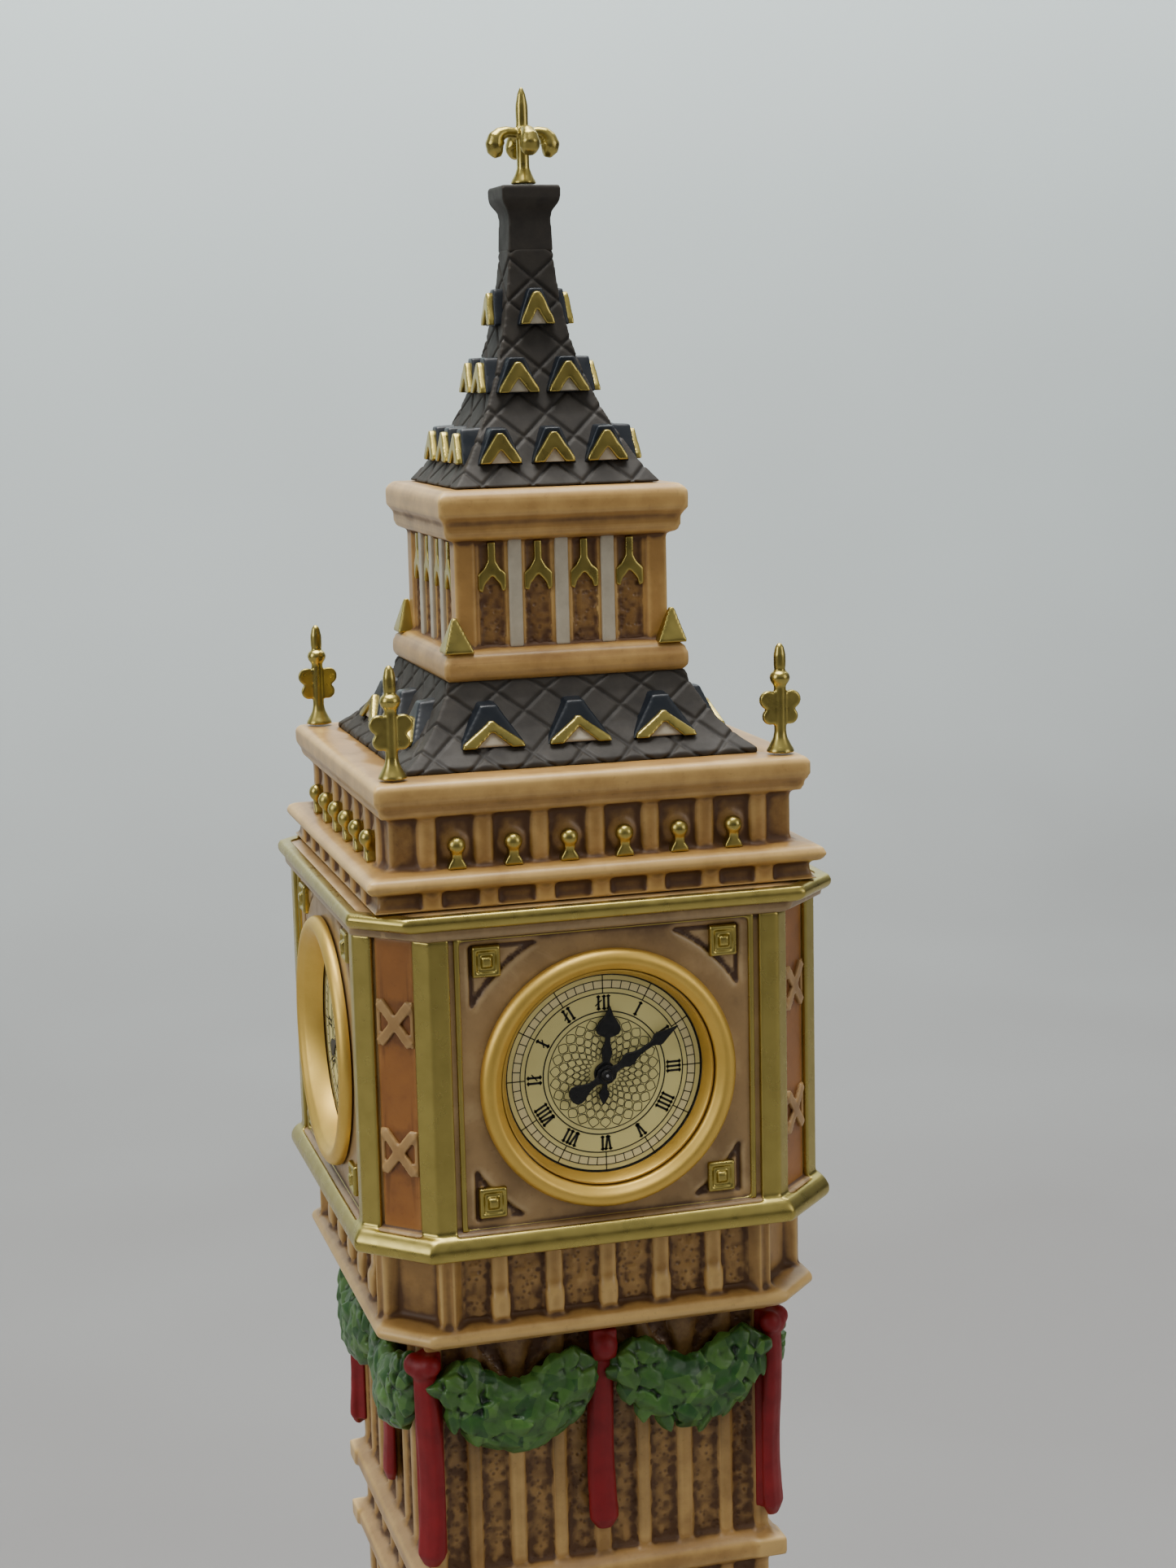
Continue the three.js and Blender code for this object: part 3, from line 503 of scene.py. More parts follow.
STEEL = metal("arbor_steel", (0.6, 0.6, 0.61, 1), (0.45, 0.45, 0.46, 1), 0.3)
COPPER = metal("coil_copper", (0.62, 0.26, 0.12, 1), (0.4, 0.14, 0.06, 1), 0.3)


# ---------------------------------------------------------------- camera and stage
def camera():
    data = bpy.data.cameras.new("camera")
    data.lens, data.sensor_width, data.clip_start = 57.77, 36.0, 0.01
    obj = bpy.data.objects.new("camera", data)
    right = Vector((0.96013, -0.27861, -0.02304))
    up = Vector((0.06923, 0.15708, 0.98516))
    back = Vector((-0.27085, -0.94747, 0.17010))
    turn = Matrix((right, up, back)).transposed()
    obj.matrix_world = Matrix.Translation(Vector((-92.37, -348.73, 97.24 + CLOCK_Z)) * MM) @ turn.to_4x4()
    bpy.context.scene.collection.objects.link(obj)
    bpy.context.scene.camera = obj


def light(name, place, aim, size, power, color=(1, 1, 1)):
    data = bpy.data.lights.new(name, "AREA")
    data.shape = "RECTANGLE"
    data.size, data.size_y = size
    data.energy = power
    data.color = color
    obj = bpy.data.objects.new(name, data)
    obj.location = place
    obj.rotation_euler = (Vector(aim) - Vector(place)).to_track_quat("-Z", "Y").to_euler()
    bpy.context.scene.collection.objects.link(obj)


def stage():
    """A pale floor that sweeps up into a backdrop, painted darker at the front and lighter up the backdrop as
    painted light falloff, and soft light from overhead and in front.
    """
    rows = [(-1.6, 0.0), (0.75, 0.0), (0.95, 0.02), (1.1, 0.09), (1.18, 0.22), (1.2, 0.5), (1.2, 2.2)]
    points = [(x, y, z) for y, z in rows for x in (-2.2, 2.2)]
    faces = [(2 * i, 2 * i + 1, 2 * i + 3, 2 * i + 2) for i in range(len(rows) - 1)]
    mesh = bpy.data.meshes.new("sweep")
    mesh.from_pydata(points, [], faces)
    mesh.polygons.foreach_set("use_smooth", [True] * len(mesh.polygons))
    floor = bpy.data.objects.new("sweep", mesh)
    bpy.context.scene.collection.objects.link(floor)
    p = Paint("sweep_card")
    split = p.node("ShaderNodeSeparateXYZ", {0: p.place}).outputs
    # The card's colour is painted light falloff: grey at the front of the floor, brightest high on the
    # backdrop.
    rise = p.scaled(split[1], 0.3, 1.15, 0.0, 0.25)
    rise = p.math("ADD", rise, p.scaled(split[2], 0.0, 0.55, 0.0, 0.75))
    rise = p.math("POWER", rise, 1.3)
    rise = p.math("ADD", rise, p.scaled(p.noise(260.0, 2.0), 0.3, 0.7, -0.03, 0.03))
    color = p.mix(rise, srgb(133, 131, 130), srgb(238, 252, 252))
    floor.data.materials.append(p.finish(color, 0.85))
    apply(floor, "SUBSURF", levels=2, render_levels=2)

    light("overhead", (-0.1, 0.05, 1.5), (0, 0.1, 0.2), (1.0, 0.8), 30, (1.0, 0.99, 0.96))
    light("window", (-1.35, -0.35, 0.8), (0, 0, 0.25), (0.7, 0.9), 7, (0.97, 0.99, 1.0))
    light("fill", (1.1, -1.0, 0.7), (0, 0, 0.25), (0.7, 0.9), 4, (1.0, 0.97, 0.93))
    light("backdrop", (0.8, 0.5, 1.4), (0.5, 1.2, 0.4), (1.2, 0.3), 10, (0.98, 0.99, 1.0))
    world = bpy.data.worlds.new("room")
    world.use_nodes = True
    tree = world.node_tree
    sky = tree.nodes.new("ShaderNodeTexCoord")
    split = tree.nodes.new("ShaderNodeSeparateXYZ")
    ramp = tree.nodes.new("ShaderNodeValToRGB")
    tree.links.new(sky.outputs["Generated"], split.inputs[0])
    tree.links.new(split.outputs["Z"], ramp.inputs[0])
    low, high = ramp.color_ramp.elements
    low.position, high.position = 0.0, 0.8
    low.color, high.color = (0.11, 0.105, 0.1, 1), (0.72, 0.74, 0.75, 1)
    seen = tree.nodes.new("ShaderNodeMix")
    seen.data_type = "RGBA"
    tree.links.new(tree.nodes.new("ShaderNodeLightPath").outputs["Is Camera Ray"], seen.inputs[0])
    tree.links.new(ramp.outputs[0], seen.inputs[6])
    seen.inputs[7].default_value = (0.9, 0.92, 0.92, 1)
    tree.links.new(seen.outputs[2], tree.nodes["Background"].inputs["Color"])
    tree.nodes["Background"].inputs["Strength"].default_value = 0.5
    bpy.context.scene.world = world


# ---------------------------------------------------------------- porcelain
def at(z):
    return CLOCK_Z + z


def raised(profile):
    return [(*rest, at(z)) for *rest, z in profile]


def stipple_relief(panel):
    """Carved pitting where panel(points) says the wall is rough."""
    def carve(co, n):
        rough = panel(co)
        return rough * (0.11 * noise(co, 0.75, 1) + 0.07 * noise(co, 1.6, 2))
    return carve


def face_across(co):
    """The distance along whichever face a point lies on, and the distance out of that face."""
    on_y = np.abs(co[:, 1]) >= np.abs(co[:, 0])
    return np.where(on_y, co[:, 0], co[:, 1]), np.where(on_y, np.abs(co[:, 1]), np.abs(co[:, 0]))


def mark(obj, name, panel):
    keep_value(obj.data, name, panel(points_of(obj.data) / MM))


def rough_between(z0, z1, out0, out1, half):
    def panel(co):
        across, out = face_across(co)
        inside = (co[:, 2] > z0) & (co[:, 2] < z1) & (out > out0) & (out < out1) & (np.abs(across) < half)
        return inside.astype(float)
    return panel


def wash_and_shade_zones(*zones):
    """Where the brown antiquing glaze was left standing, with painted shade in these recesses: (share, z0,
    z1, out0, out1, half) for each zone.
    """
    def panel(co):
        total = np.zeros(len(co))
        for share, *zone in zones:
            total = np.maximum(total, share * rough_between(*zone)(co))
        return total
    return panel


def gild(name, parts, voxel, soften, keep, nodes=(), carve=None):
    place(cast(name, parts, voxel, soften, carve, keep), GOLD, "gold", nodes)


def walls(name, node, parts, voxel, keep, hollow, panel, *zones, carve=None):
    """A course of the tower: pitted in its panel, and darker in the zones, with brown glaze left standing and
    painted shade.
    """
    obj = cast(name, parts, voxel, 2, carve or stipple_relief(panel), keep, hollow)
    if not carve:
        mark(obj, "stipple", panel)
    # The recess mark darkens the paint: brown glaze with painted shade.
    mark(obj, "recess", wash_and_shade_zones(*zones))
    place(obj, PORCELAIN if carve else STIPPLED, "porcelain", [node])


def plinth():
    parts = [square([
        (33, 0), (33, 4.6), (32.2, 5.2), (30.6, 7.2), (29.2, 8), (28.7, 9), (28.2, 9.2), (28.2, 25),
        (28.9, 25.4), (30.2, 27), (30.2, 29.4), (29.6, 29.9), (27.2, 31.2), (26, PLINTH_TOP),
    ])]
    posts = row(4, 17.2, 1.6, -28.8, -27, 9, 25.2)
    bands = [block(-28.4, 28.4, -28.8, -27, z0, z1) for z0, z1 in ((9, 11), (23, 25.2))]
    corners = [block(-28.8, -24.6, -28.8, -24.6, 9, 25.2)]
    parts += four(posts + bands + corners)
    panel = rough_between(11, 23, 27.6, 28.5, 26)
    # Brown glaze and painted shade in the recessed panels.
    walls("plinth_body", "plinth", parts, 0.6, 0.35, [core(20.5, -1, PLINTH_TOP + 1)], panel,
          (0.4, 9.5, 24.5, 27.6, 28.5, 26))


def string_course(z0, z1):
    w = 26.9
    return square([(24.6, z0), (26, z0 + 0.6), (w, z0 + 1.4), (w, z1 - 1.3), (26, z1 - 0.6), (25, z1)])


def corner_break(z0, z1):
    """The course stands further out over the corner posts."""
    return block(-27.2, -22.6, -27.2, -22.6, z0 + 1, z1 - 0.9)


def shaft_part(name, node, z0, z1, courses, voxel, keep, extra, cuts=()):
    """A length of the shaft: ribs and rough panels between the string courses, each given as (foot, top)."""
    parts = [core(SHAFT, z0, z1)]
    edges = [z0 - 1, *[z for course in courses for z in course], z1 + 1]
    ribs = []
    for low, high in zip(edges[::2], edges[1::2]):
        low_end, high_end = max(low, z0), min(high, z1)
        for k, x in enumerate(spread(7, 6.2)):
            half = 1.1 if k % 2 else 0.95
            foot = low_end + (0.3 + 0.25 * math.sin(k * 2.1) if low > z0 else 0)
            outline = [(x - half, foot), (x + half, foot), (x + half, high_end), (x - half, high_end)]
            ribs.append(relief(outline, RIB_BACK, RIB_FACE))
        ribs.append(block(-RIB_FACE, -23, -RIB_FACE, -23, low_end, high_end))
    parts += four(ribs)
    for low, high in courses:
        parts += [string_course(low, high), *four([corner_break(low, high)])]
    panel = rough_between(z0 + 0.5, z1 - 0.5, 23.8, 24.5, 23.2)
    # Darker between the ribs (brown glaze with painted shade), painted shade behind the garlands, and painted
    # shade on the walls inside the hollow.
    between_ribs = (0.2, z0, z1, RIB_BACK, 24.55, 23.2)
    behind_swags = (0.9, at(-46), at(-36.8), 23, 25.4, 22.6)
    inside = (1.0, z0 - 3, z1 + 3, HOLLOW - 1.1, HOLLOW + 1.1, 23)
    walls(name, node, parts + extra, voxel, keep, [core(HOLLOW, z0 - 1, z1 + 1), *cuts], panel,
          between_ribs, behind_swags, inside)


def fan_heads():
    """Fan tracery at the head of the bays, half hidden behind the garlands."""
    parts = []
    for middle in (-12.4, 12.4):
        for angle in (-62, -38, -14, 14, 38, 62):
            bar = block(-0.35, 0.35, -0.5, 0.5, 0, 8.5)
            parts.append(moved(spun(bar, angle, 1), (middle, -24.3, at(-46.8))))
    return four(parts)


def lower_shaft():
    """The lower length, with a collared hole at the back for a light."""
    inlet = disc(INLET_R, -30, 30, 64, (0, 35, INLET_Z))
    collar = turned([(INLET_R + 1.3, -1.1), (INLET_R + 1.9, -0.5), (INLET_R + 1.9, 2)], 64)
    collar = moved(spun(collar, 90, 0), (0, 24.7, INLET_Z))
    shaft_part("lower_shaft_body", "lower_shaft", PLINTH_TOP - 0.1, SHAFT_SPLIT, [(84, 88.6)], 0.55, 0.3,
               [collar], [inlet])


def upper_shaft():
    shaft_part("upper_shaft_body", "upper_shaft", SHAFT_SPLIT - 0.1, at(-37),
               [(at(-87.4), at(-82.8)), (at(-77.4), at(-72.6))], 0.4, 0.4, fan_heads())


def bracket(x, foot, head):
    """A carved rib of the corbel band, with a faceted boss above its foot."""
    parts = [relief([(x - 1.15, foot), (x + 1.15, foot), (x + 1.15, head), (x - 1.15, head)], 29, 30.3)]
    base = [(x - 1.2, foot + 0.5), (x + 1.2, foot + 0.5), (x + 1.35, foot + 1.6), (x + 1.35, foot + 3.8),
            (x + 0.9, foot + 5.0), (x - 0.9, foot + 5.0), (x - 1.35, foot + 3.8), (x - 1.35, foot + 1.6)]
    top = [(x + (u - x) * 0.72, foot + 2.4 + (z - foot - 2.4) * 0.6) for u, z in base]
    layers = ((base, 29.4), (base, 30.3), (top, 30.95))
    parts.append(loft([[(u, -out, z) for u, z in ring] for ring, out in layers]))
    return parts


def corbel_stage():
    parts = [eight(raised([
        (27.5, 4.6, -37.2), (30.6, 6, -36.6), (31.9, 6.3, -35.6), (32, 6.3, -34.9), (31.6, 6.3, -34.2),
        (30.2, 6.6, -33.6), (29.4, 6.8, -33.4), (29.4, 6.8, -23.1),
    ]))]
    ribs = [part for x in spread(5, 7.7) for part in bracket(x, at(-34), at(-23.4))]
    for side in (-1, 1):
        for u0, u1, back, front, turn in ((21.9, 23.9, 28.5, 30.4, 0), (4.1, 6.4, 35.5, 37.6, 45)):
            ends = ((u0, -34), (u1, -34), (u1, -23.1), (u0, -23.1))
            ribs.append(spun(relief([(side * u, at(z)) for u, z in ends], back, front), turn))
    parts += four(ribs)
    panel = rough_between(at(-33), at(-23.6), 29.1, 29.75, 21.6)
    # Faint brown glaze and painted shade between the brackets.
    walls("corbel_body", "corbel_stage", parts, 0.32, 0.35, [core(HOLLOW, at(-38), at(-22))], panel,
          (0.15, at(-33.2), at(-23.2), 28.8, 29.8, 21.8))


def spandrel(side_x, side_z, grow=0.0):
    """A corner triangle of a dial panel, its long side hollowed round the clock ring."""
    middle, edge_x, edge_z, radius = 0.7, 19.0 + grow, 19.2 + grow, 21.6 - grow
    corner_z = edge_z + side_z * middle
    start = math.atan2(corner_z, math.sqrt(radius ** 2 - corner_z ** 2))
    end = math.atan2(math.sqrt(radius ** 2 - edge_x ** 2), edge_x)
    arc = [start + (end - start) * i / 12 for i in range(13)]
    outline = [(edge_x, corner_z), *[(radius * math.cos(a), radius * math.sin(a)) for a in arc]]
    outline = [(side_x * x, at(side_z * z)) for x, z in outline]
    return outline if side_x * side_z > 0 else outline[::-1]


QUADRANTS = ((1, 1), (-1, 1), (-1, -1), (1, -1))


def chamfer_cross(z):
    """An X carved across a cut corner, made facing the front and turned by the caller."""
    arm = block(-0.68, 0.68, -40.45, -39, -3.75, 3.75)
    parts = [moved(spun(arm, lean, 1), (0, 0, at(z))) for lean in (-40, 40)]
    parts += [block(x - 0.3, x + 0.3, -40.2, -39, at(z - 3.2), at(z + 3.2)) for x in (-2.65, 2.65)]
    return parts


def clock_stage():
    cuts = four([relief(spandrel(sx, sz), PANEL_Y - 0.7, PANEL_Y + 2) for sx, sz in QUADRANTS])
    socket = disc(16.5, -6, 6, 96, (0, -PANEL_Y, CLOCK_Z))
    pocket = disc(15.5, -2.6, 2.6, 96, (0, -PANEL_Y, CLOCK_Z))
    cuts += [socket, *four([pocket], (90, 180, 270))]
    body = cut(mesh_object("core", [eight(raised([(32.3, 8.31, -23.1), (32.3, 8.31, 24.5)]))]), cuts)
    faces = [tuple(f.vertices) for f in body.data.polygons]
    parts = [(points_of(body.data), faces)]
    bpy.data.objects.remove(body)
    parts.append(eight(raised([
        (33, 8.6, -23.1), (34.1, 8.7, -22.7), (34.1, 8.7, -21.2), (33.2, 8.5, -19.9), (33, 8.5, -19.6),
        (31, 8, -19.6), (31, 8, -23.1),
    ]), closed=True))
    parts.append(eight(raised([
        (31, 8, 20.9), (33.1, 8.2, 20.9), (33.6, 7.8, 21.3), (33.6, 7.3, 22.5), (33.4, 7, 24.2),
        (31.5, 6.6, 24.5), (31, 8, 24.5),
    ]), closed=True))
    islands = four([relief(spandrel(sx, sz, -0.75), PANEL_Y - 1, PANEL_Y - 0.25) for sx, sz in QUADRANTS])
    hollow = [eight([(28.5, 6, at(-24)), (28.5, 6, at(26))])]
    obj = cast("clock_stage_body", parts + islands, 0.3, 1, keep=0.3, hollow=hollow)

    # Brown glaze and painted shade in the carved spandrels round the dial.
    def groove(co):
        across, out = face_across(co)
        height = co[:, 2] - CLOCK_Z
        inside = (np.abs(across) < 19.4) & (np.abs(height) < 20.3) & (np.hypot(across, height) > 19.5)
        return (inside & (out > 31.2) & (out < 31.93)).astype(float)
    # Painted shade on the fillets under the top gold moulding and next to the bottom one.
    fillet = wash_and_shade_zones((0.55, at(20.7), at(22.5), 30, 35, 40), (0.5, at(-20.2), at(-19.3), 30, 35, 40))
    mark(obj, "recess", lambda co: np.maximum(groove(co), fillet(co)))
    place(obj, STAGE, "porcelain", ["clock_stage"])

    insets = [spun(block(-3, 3, -39.95, -39, at(-19.8), at(21)), 45 + a) for a in FOUR]
    obj = cast("chamfer_panels", insets, 0.3, 2, keep=0.3)

    # Orange panels darker round the crosses: brown glaze with painted shade in the carving.
    def behind_cross(co):
        height = co[:, 2] - CLOCK_Z
        near = np.min([np.abs(height - z) for z in CROSSES], axis=0)
        return np.clip((3.4 - near) * 1.2, 0, 0.75)
    mark(obj, "recess", behind_cross)
    place(obj, ORANGE, "porcelain")
    crosses = [spun(part, 45 + a) for z in CROSSES for part in chamfer_cross(z) for a in FOUR]
    place(cast("chamfer_crosses", crosses, 0.2, 2, keep=0.5), CROSS, "porcelain")


def stud_ring(x, z, w, h, out):
    return [(x + u * w, -out, at(z + v * h)) for u, v in ((-1, -1), (1, -1), (1, 1), (-1, 1))]


def clock_stage_gilding():
    lower = eight(raised([
        (33.4, 8.6, -23.2), (34.3, 8.7, -23), (34.6, 8.7, -22.2), (34.5, 8.7, -21.2), (34.0, 8.6, -20.3),
        (33.5, 8.5, -19.8), (33.1, 8.5, -19.8), (33.1, 8.5, -23),
    ]), closed=True)
    upper = eight(raised([
        (33.2, 7, 22.3), (33.9, 6.8, 22.4), (34.3, 6.5, 23), (34.4, 6.4, 23.8), (34, 6.4, 24.5),
        (32.5, 6.2, 24.6), (32.4, 7, 22.5),
    ]), closed=True)
    corner = [(-21.7, -33.05), (-24.4, -33.05), (-26.4, -31.0), (-25.8, -30.4), (-24, -31.6), (-21.7, -31.6)]
    mirrored = [(-x, y) for x, y in corner][::-1]
    pilasters = [prism(outline, at(-19.9), at(21.1)) for outline in (corner, mirrored)]
    beads = [block(x - 0.4, x + 0.4, -32.75, -31.8, at(-19.7), at(21)) for x in (-20.6, 20.6)]
    beads += [block(-20.6, 20.6, -32.6, -31.8, at(z - 0.25), at(z + 0.25)) for z in (-19.5, 20.7)]
    gild("stage_gilding", [lower, upper, *four(pilasters + beads)], 0.25, 5, 0.5)

    sizes = ((1.95, 2.15, 31.2), (1.95, 2.15, 32.6), (1.75, 1.95, 32.95), (1.4, 1.55, 32.95),
             (1.3, 1.4, 32.6), (0.75, 0.8, 32.6), (0.7, 0.75, 33.05), (0.45, 0.45, 33.3))
    places = ((-16.6, 17.6), (16.6, 17.6), (-16.6, -15.8), (15.9, -15.8))
    studs = [loft([stud_ring(x, z, *size) for size in sizes]) for x, z in places]
    gild("corner_studs", four(studs), 0.16, 2, 0.5)


def gallery():
    parts = [square(raised([
        (31.3, 24.6), (30.4, 25.3), (30.3, 27.1), (31.5, 27.35), (32.0, 27.9), (32.1, 28.5), (31.8, 29.1),
        (31.2, 29.45), (28.2, 29.95), (28.2, 36.8), (29.4, 37.0), (29.75, 37.5), (29.75, 38.3), (30.1, 38.6),
        (30.45, 39.2), (30.45, 41.0), (30.2, 41.5), (29.6, 41.8),
    ]))]
    pilasters = row(7, BAY, 1.15, -29, -27, at(29.8), at(37))
    dentils = row(7, BAY, 1.25, -31.15, -29.5, at(25), at(27.4))
    discs = [disc(1.75, 0, 0.5, 24, (x, -28, at(32.9))) for x in spread(6, BAY)]
    parts += four(pilasters + dentils + discs)
    panel = rough_between(at(30), at(36.6), 28.0, 28.45, 27)
    # Brown glaze and painted shade in the arcade and between the dentils.
    arcade = (0.6, at(29.8), at(36.9), 27.5, 28.5, 28.6)
    between_dentils = (0.7, at(24.8), at(27.3), 29.5, 30.6, 31)
    walls("gallery_body", "gallery", parts, 0.33, 0.3, [core(24.5, at(24), at(43))], panel,
          arcade, between_dentils, carve=lambda co, n: 0.4 * stipple_relief(panel)(co, n))

    stand = [(-1.35, 29.7), (1.35, 29.7), (1.15, 30.4), (0.65, 31.2), (0.8, 32), (-0.8, 32),
             (-0.65, 31.2), (-1.15, 30.4)]
    gilt = []
    for x in spread(6, BAY):
        gilt.append(ball((x, -29.3, at(32.9)), 1.3))
        gilt.append(relief([(x + u, at(z)) for u, z in stand], 28, 29.9))
    gild("gallery_balls", four(gilt), 0.2, 3, 0.6)


def diamonds(pitch, height, centre_z, depth=0.3, width=0.25):
    """Incised slates: two families of slanting lines on each slope."""
    def carve(co, n):
        across, _ = face_across(co)
        v = (co[:, 2] - at(centre_z)) / height
        out = np.zeros(len(co))
        for lean in (-1, 1):
            phase = across / pitch + lean * v + 0.5
            away = np.abs(phase - np.round(phase)) * pitch * 0.75
            out = np.maximum(out, np.exp(-((away / width) ** 2)))
        return np.where(np.abs(n[:, 2]) < 0.95, -depth * out, 0)
    return carve


def gable(x, half, sill, apex, front, lean, back, rise, crown, above, inner):
    """A dormer on the front slope as (hood, infill, chevron). front is its plane at the sill, lean how much
    further back the apex is, and above how far the hood stands over the chevron. inner is the opening's share
    of the chevron's half width and height."""
    def y_at(z):
        return front - lean * (z - sill) / (apex - sill)
    outer = half + 0.25
    top = apex + above
    right = [(outer, sill - 0.1), (outer * 0.9, sill + 0.9), (crown + 0.35, top - 0.7), (crown, top)]
    hood_front = [(x - u, v) for u, v in right] + [(x + u, v) for u, v in right[::-1]]

    def hood_ring(y_back, lift):
        return [(u, 0.15 - y_at(v) + y_back, at(v + lift * (v > sill + 1))) for u, v in hood_front]
    hood = loft([hood_ring(0, 0), hood_ring(back, rise)])
    open_x, open_z = half * inner[0], sill + (apex - sill) * inner[1]
    outline = [(x - half, sill), (x - open_x, sill), (x, open_z), (x + open_x, sill), (x + half, sill),
               (x + half * 0.94, sill + 0.7), (x + 0.75, apex - 0.45), (x + 0.35, apex), (x - 0.35, apex),
               (x - 0.75, apex - 0.45), (x - half * 0.94, sill + 0.7)]
    pane = [(x - half * 0.8, sill + 0.05), (x, apex - 0.6), (x + half * 0.8, sill + 0.05)]

    def plate(shape, back_out, front_out):
        return loft([[(u, -(y_at(v) + out), at(v)) for u, v in shape] for out in (back_out, front_out)])
    return hood, plate(pane, -0.6, 0.12), plate(outline, -0.3, 0.65)


def dormers(name, rows, voxel):
    gables = [gable(x, *shape) for count, pitch, *shape in rows for x in spread(count, pitch)]
    hoods, fills, chevrons = [four(parts) for parts in zip(*gables)]
    place(cast(f"{name}_hoods", hoods, voxel, 4, keep=0.5), NAVY, "slate")
    place(cast(f"{name}_infill", fills, voxel, 1, keep=0.5), WHITE, "porcelain")
    gild(f"{name}_chevrons", chevrons, voxel * 0.75, 3, 0.6)


def lower_roof():
    parts = [square(raised([(24.9, 41.75), (24.7, 42.6), (23, 43.8), (21.6, 45.2), (20.2, 46.8), (19.1, 48.5),
                            (17.9, 50.6), (17, 53)]))]
    obj = cast("lower_roof_body", parts, 0.26, 2, diamonds(6.9, 5.2, 46.3), 0.5,
               hollow=[square(raised([(19.5, 41), (15, 46), (12.8, 54)]))])
    place(obj, SLATE, "slate", ["lower_roof"])
    dormers("lower_roof", [(3, 12.2, 4.45, 44.5, 48.1, 22.5, 1.3, 5.5, 0.6, 1.2, 2.0, (0.56, 0.6))], 0.24)


def arrow_arch(x):
    """The gilded head of a belfry bay: a stem over a pointed arch."""
    half = [(0.55, 0), (0.55, -2.6), (1.1, -3.6), (2.0, -4.4), (2.0, -6.6), (1.35, -6.9), (1.1, -5.9)]
    outline = [(-0.55, 0), *half, (0, -4.6), *[(-u, v) for u, v in half[:0:-1]]]
    return relief([(x + u, at(71.7 + v)) for u, v in outline], 14, 15)


def belfry():
    parts = [square(raised([
        (16.5, 52.8), (17.2, 53.3), (17.5, 54), (17.45, 55.4), (17.0, 56.4), (16.2, 57), (14.4, 57.3),
        (14.4, 71.8), (15.6, 72.0), (16.5, 72.4), (16.8, 73.2), (16.8, 74.4), (17.2, 74.9), (17.65, 75.5),
        (17.7, 77.6), (17.4, 78.3), (16.6, 78.9),
    ]))]
    posts = [block(-15.15, -12.4, -15.15, -12.4, at(56.8), at(72.2))]
    edges = [block(x + off - 0.3, x + off + 0.3, -14.8, -13.8, at(57), at(72))
             for x in spread(4, BELFRY_BAY) for off in (-2.15, 2.15)]
    parts += four(posts + edges)
    panel = rough_between(at(57.6), at(65.8), 14.2, 14.65, 12.2)
    # Brown glaze and painted shade in the bays and round the base moulding.
    bays = (0.75, at(57), at(72), 14, 14.7, 12.4)
    base = (0.4, at(52.9), at(56.6), 16.7, 17.9, 18)
    walls("belfry_body", "belfry", parts, 0.27, 0.35, [core(11, at(52), at(80))], panel, bays, base)

    bars = four(row(3, BELFRY_BAY, 0.95, -15.2, -13.8, at(57.1), at(72.1)))
    place(cast("belfry_mullions", bars, 0.22, 2, keep=0.5), WHITE, "porcelain")
    gild("belfry_arches", four([arrow_arch(x) for x in spread(4, 6.55)]), 0.17, 3, 0.5)
    spikes = []
    for _, sx, sy in CORNERS:
        rings = []
        for low, high, z in ((13.1, 17.35, 56.8), (13.3, 17.2, 57.4), (15.2, 15.9, 61.6)):
            corners = ((low, low), (high, low), (high, high), (low, high))
            rings.append([(sx * a, sy * b, at(z)) for a, b in corners])
        spikes.append(loft(rings))
    gild("belfry_pinnacles", spikes, 0.2, 3, 0.6)


def spire():
    slope = [(14.7, 79), (12.2, 82.1), (9.9, 86.2), (8.6, 88.6), (7.6, 90.9), (6.2, 94.6), (5.2, 97.9),
             (4.4, 101.4), (3.8, 104.9), (3.4, 108), (3.2, 111.3)]
    obj = cast("spire_body", [square(raised(slope))], 0.24, 2, diamonds(7.1, 6.2, 98.0), 0.5,
               hollow=[square(raised([(10.8, 78), (6.4, 86), (1.9, 98)]))])
    place(obj, SLATE, "slate", ["spire_roof"])
    dormers("spire", [
        (3, 7.6, 2.95, 82.1, 86.3, 12.7, 0.3, 4.2, 0.2, 1.1, 0.6, (0.5, 0.47)),
        (2, 7.2, 2.9, 91.6, 95.8, 8.1, 0.3, 3.2, 0.1, 1.1, 0.6, (0.5, 0.47)),
        (1, 0, 2.45, 100.9, 105.4, 5.6, 0.3, 2.6, 0.0, 0.9, 0.5, (0.5, 0.47)),
    ], 0.2)
    cap = square(raised([(3.2, 110.9), (3.0, 115.4), (3.2, 116.4), (3.9, 117.4), (4.15, 118), (4.2, 119.5),
                         (4.05, 119.9)]))
    place(cast("spire_cap_body", [cap], 0.16, 3), SLATE, "slate", ["spire_cap"])


# ---------------------------------------------------------------- metal finials
def top_finial():
    z = at(120.2)
    shaft = [(1.8, 0), (1.75, 0.3), (1.2, 1.3), (0.9, 2.2), (0.9, 9), (0.85, 10.8), (0.6, 12.2), (0.2, 13.2)]
    path = [(0.3, 6.7), (1.2, 7.0), (2.2, 7.1), (3.1, 6.85), (3.7, 6.25), (3.9, 5.5), (3.75, 4.9), (3.4, 4.5),
            (2.95, 4.4)]
    radii = [0.7, 0.72, 0.82, 1.0, 1.25, 1.45, 1.45, 1.2, 0.7]
    arm = arm_tube([(x, z + h) for x, h in path], radii)
    parts = [turned([(r, z + h) for r, h in shaft], 32), *four([arm])]
    gild("top_finial_metal", parts, 0.13, 6, 1, ["top_finial"], lambda co, n: 0.06 * noise(co, 1.6, 3))


